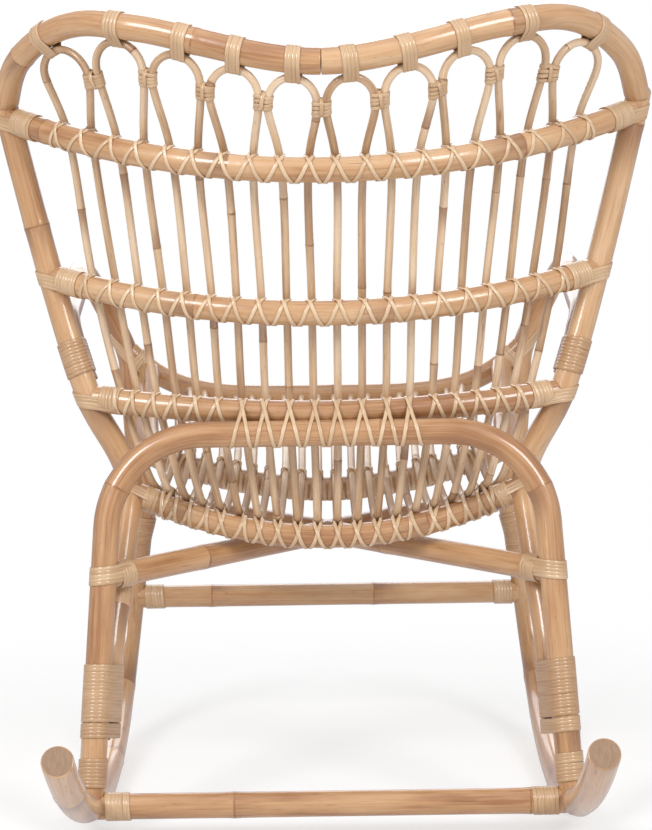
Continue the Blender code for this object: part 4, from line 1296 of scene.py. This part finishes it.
class CHAIR_OT_windings(bpy.types.Operator):
    """Wind flat cane round the joints of the poles"""
    bl_idname = "chair.windings"
    bl_label = "Windings"

    def execute(self, context):
        strip = context.scene.chair_strips
        for loop, (cane, spot) in enumerate(zip(CANES, TIE_SPOTS)):
            pole = STICKS["left_back_frame" if spot[0] > 0.0 else "right_back_frame"]
            node = "top_tie_%02d" % (loop + 1)
            winding = wound((pole, cane), pole.at(spot), 4, strip, TOP_TIE_SEED + loop)
            add_strands(node + "_strip", [winding], (node,))
        arch = STICKS["rear_leg_arch"]
        for side, sign in SIDES:
            post, arm, rocker, brace = (STICKS[side + name] for name in (
                "_back_frame", "_arm", "_rocker", "_cross_brace"))
            far_arm = STICKS[("right" if sign > 0.0 else "left") + "_arm"]
            first = SIDE_SEEDS[side]
            # At rails' ends: the rail, its holder, turns, strands of the strap, and the start
            for seed, (node, rail, holder, turns, count, start) in enumerate((
                    ("upper_back_rail_binding", "upper_back_rail", post, 8, 4, END_START),
                    ("middle_back_rail_binding", "middle_back_rail", post, 7, 4, END_START),
                    ("lower_back_rail_binding", "lower_back_rail", post, 6, 4, END_START),
                    ("rear_seat_binding", "rear_seat_rail", post, 4, 3, END_START),
                    ("rear_stretcher_binding", "rear_stretcher", rocker, 7, 0, 0.018),
                    ("front_stretcher_binding", "front_stretcher", rocker, 6, 0, END_START),
                    ("brace_binding", side + "_cross_brace", arch, 5, 5, 0.017)), first):
                node = "%s_%s" % (side, node)
                strands = end_lashing(STICKS[rail], holder, turns, count, strip, seed, start)
                add_strands(node + "_strip", strands, (node,), seed=seed)
            # Along poles: the pole, one beside it, turns of each part, and turns further down
            for seed, (node, pole, other, turns, drop) in enumerate((
                    ("arm_lashing", post, arm, (10,), 0.0),
                    ("leg_lashing", arch, post, (4, 16), 1.0),
                    ("foot_binding", arch, None, (8,), 0.0),
                    ("splice_binding", rocker.with_next(arm), None, (15,), 0.0)), first + 20):
                node = "%s_%s" % (side, node)
                sticks = (pole, other) if other else (pole,)
                middle, windings = pole.at(middle_of(node)), []
                start = -(sum(turns) + SLIT * (len(turns) - 1)) / 2.0 - drop
                for count in turns:
                    away = (start + count / 2.0) * strip.pitch * sign
                    windings.append(wound(sticks, middle + away, count, strip, seed))
                    start += count + SLIT
                add_strands(node + "_strip", windings, (node,), shade=JOINT_TONE_AND_PAINTED_SHADE, seed=seed)
            for seed, (name, rail, holder, count) in enumerate((
                    ("brace_front", brace, far_arm, 4),
                    ("front_seat_rail", STICKS["front_seat_rail"], arm, 3)), first + 30):
                strands = end_lashing(rail, holder, 5, count, strip, seed)
                add_strands("%s_%s_strip" % (side, name), strands, seed=seed)
        return {"FINISHED"}


class CHAIR_OT_lashings(bpy.types.Operator):
    """Lash the hoop canes to the rails, crosswise at every cane"""
    bl_idname = "chair.lashings"
    bl_label = "Rail Lashings"

    def execute(self, context):
        strip = context.scene.chair_strips
        crossings = {name: [back_crossing(leg, rail)[0] for leg in range(LEGS)]
                     for name, rail in BACK_RAILS.items()}
        crossings["rear_seat_rail"] = [rear_seat_spot(leg) for leg in range(LEGS)]
        crossings["seat_hoop"] = [hoop_crossing(leg)[0] for leg in range(LEGS)]
        for seed, (name, spots) in enumerate(crossings.items(), LASHING_SEED):
            spots = [spot + SHIFT for spot in spots]
            tall = [leg for leg, spot in enumerate(spots)
                    if name == "lower_back_rail" and abs(spot[0]) < ARCH_LASH_HALF]
            plain = [leg for leg in range(LEGS) if leg not in tall]
            strands = []
            for feet in zigzag_feet(STICKS[name], spots, strip):
                for legs, rails in ((plain, (name,)), (tall, (name, "rear_leg_arch"))):
                    if legs:
                        strands += cross_lashing(
                            [STICKS[rail] for rail in rails], [CANES[leg // 2] for leg in legs],
                            [spots[leg] for leg in legs], [feet[leg] for leg in legs], strip)
            add_strands(name + "_lashing", lay(strands, strip), shade=RAIL_SHADE, seed=seed)
        return {"FINISHED"}


class CHAIR_OT_loop_ties(bpy.types.Operator):
    """Tie each loop of the back to the next one"""
    bl_idname = "chair.loop_ties"
    bl_label = "Loop Ties"

    def execute(self, context):
        strip = context.scene.chair_strips
        turns = 4
        deep = CANE_D / 2.0 + strip.thickness * 1.2
        tall = turns * strip.pitch / 2.0 + strip.thickness - deep
        rail_top = STICKS["upper_back_rail"].path[:, 2].max()
        strands = []
        for seed, (cane, other) in enumerate(zip(CANES, CANES[1:]), LOOP_TIE_SEED):
            high = np.flatnonzero(cane.path[:, 2] > rail_top)
            apart = np.linalg.norm(cane.path[high][:, None] - other.path[None], axis=2).min(axis=1)
            middle = cane.run[high[apart < apart.min() + LASH_SLACK]].mean()
            strands.append(wound((cane, other), middle, turns, strip, seed))
            centre, way = along(cane.path, middle), heading(cane.path, middle)
            across = bar(other, centre)[0] - centre
            spot = centre + across / 2.0
            bars = [(spot + end, unit(across), deep) for end in (way * tall, -(way * tall))]
            strands.append(ring_round(bars, spot, across, strip))
        add_strands("loop_ties", strands, shade=TIE_SHADE, seed=LOOP_TIE_SEED)
        return {"FINISHED"}


# Stage

def white_rays(net, look):
    """If a ray sees the white surroundings, and how: plain to the camera, softer in the lacquer."""
    rays = net.node("ShaderNodeLightPath").outputs
    in_lacquer = net.math("ADD", rays["Is Glossy Ray"], rays["Is Transmission Ray"])
    seen = net.math("MINIMUM", net.math("ADD", rays["Is Camera Ray"], in_lacquer), 1.0)
    strength = net.math(
        "MULTIPLY_ADD", rays["Is Camera Ray"], 1.0 - look.reflected, look.reflected)
    return seen, strength, net.tint(in_lacquer, WHITE, look.reflection)


def add_floor(scene, look):
    """A matt floor that shows the chair's shadow and fades to plain white."""
    ground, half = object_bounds()[0].z, look.floor_size / 2.0
    mesh = bpy.data.meshes.new("floor")
    mesh.from_pydata([(-half, -half, ground), (half, -half, ground), (half, half, ground),
                      (-half, half, ground)], [], [(0, 1, 2, 3)])
    floor = bpy.data.objects.new("floor", mesh)
    scene.collection.objects.link(floor)
    material = bpy.data.materials.new("pale_floor")
    material.use_nodes = True
    net = Net(material.node_tree)
    net.tree.nodes.clear()
    matt = net.add("ShaderNodeBsdfDiffuse", {"Color": (*look.floor, 1.0)})
    seen, strength, tint = white_rays(net, look)
    white = net.add("ShaderNodeEmission", {"Color": tint, "Strength": strength})
    away = net.length(net.node("ShaderNodeTexCoord").outputs["Object"])
    plain = net.ease(away, SHADOW_FROM, SHADOW_TO, look.whiteness, 1.0)
    share = net.math("MULTIPLY", seen, plain)
    mixed = net.add("ShaderNodeMixShader", {0: share, 1: matt, 2: white})
    net.node("ShaderNodeOutputMaterial", {"Surface": mixed})
    mesh.materials.append(material)
    floor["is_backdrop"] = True


def add_surroundings(scene, look):
    """White all round, bright to the camera and dimmer as a light."""
    world = bpy.data.worlds.new("white_studio")
    world.use_nodes = True
    net = Net(world.node_tree)
    net.tree.nodes.clear()
    seen, strength, tint = white_rays(net, look)
    brighter = net.math("ADD", strength, -look.ambient)
    strength = net.math("MULTIPLY_ADD", seen, brighter, look.ambient)
    white = net.add("ShaderNodeBackground", {"Color": tint, "Strength": strength})
    net.node("ShaderNodeOutputWorld", {"Surface": white})
    scene.world = world


def add_light(scene, name, size, spot, power):
    data = bpy.data.lights.new(name, "AREA")
    data.shape = "RECTANGLE"
    data.size, data.size_y = size
    data.energy = power
    light = bpy.data.objects.new(name, data)
    light.location = spot
    way = unit(np.array(LIGHT_AIM) - np.array(spot))
    light.rotation_euler = Vector(way).to_track_quat("-Z", "Y").to_euler()
    scene.collection.objects.link(light)


def add_camera(scene):
    data = bpy.data.cameras.new("camera")
    data.sensor_width = SENSOR_WIDTH
    data.lens = CAMERA_LENS
    camera = bpy.data.objects.new("camera", data)
    camera.location = CAMERA_SPOT
    upright = Euler((math.radians(90.0 - CAMERA_DIP), 0.0, math.radians(180.0))).to_quaternion()
    roll = Quaternion((0.0, 0.0, 1.0), math.radians(CAMERA_ROLL))
    camera.rotation_euler = (upright @ roll).to_euler()
    scene.collection.objects.link(camera)
    scene.camera = camera


class CHAIR_OT_stage(bpy.types.Operator):
    """Set up the floor, the lights and the camera"""
    bl_idname = "chair.stage"
    bl_label = "Stage"

    def execute(self, context):
        scene, look = context.scene, context.scene.chair_stage
        add_floor(scene, look)
        add_surroundings(scene, look)
        for name, (size, spot) in LIGHTS.items():
            add_light(scene, name + "_light", size, spot, getattr(look, name))
        add_camera(scene)
        scene.view_settings.view_transform = "Standard"
        return {"FINISHED"}


class CHAIR_PT_panel(bpy.types.Panel):
    """Lists the steps that build the chair"""
    bl_idname = "CHAIR_PT_panel"
    bl_label = "Rattan Rocking Chair"
    bl_space_type = "VIEW_3D"
    bl_region_type = "UI"
    bl_category = "Chair"

    def draw(self, context):
        for step in STEPS:
            self.layout.operator(step.bl_idname)
        for group in GROUPS:
            box = self.layout.box()
            box.label(text=group.__doc__)
            settings = getattr(context.scene, GROUPS[group])
            for key in group.__annotations__:
                box.prop(settings, key)


STEPS = (CHAIR_OT_poles, CHAIR_OT_canes, CHAIR_OT_windings, CHAIR_OT_lashings,
         CHAIR_OT_loop_ties, CHAIR_OT_stage)
GROUPS = {PoleLook: "chair_poles", CaneLook: "chair_canes", StripLook: "chair_strips",
          StageLook: "chair_stage"}


def register():
    for group, name in GROUPS.items():
        bpy.utils.register_class(group)
        setattr(bpy.types.Scene, name, PointerProperty(type=group))
    for step in STEPS + (CHAIR_PT_panel,):
        bpy.utils.register_class(step)


def unregister():
    for step in (CHAIR_PT_panel,) + STEPS[::-1]:
        bpy.utils.unregister_class(step)
    for group, name in GROUPS.items():
        delattr(bpy.types.Scene, name)
        bpy.utils.unregister_class(group)


def main():
    register()
    for step in STEPS:
        area, name = step.bl_idname.split(".")
        getattr(getattr(bpy.ops, area), name)()
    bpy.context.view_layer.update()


if __name__ == "__main__":
    main()
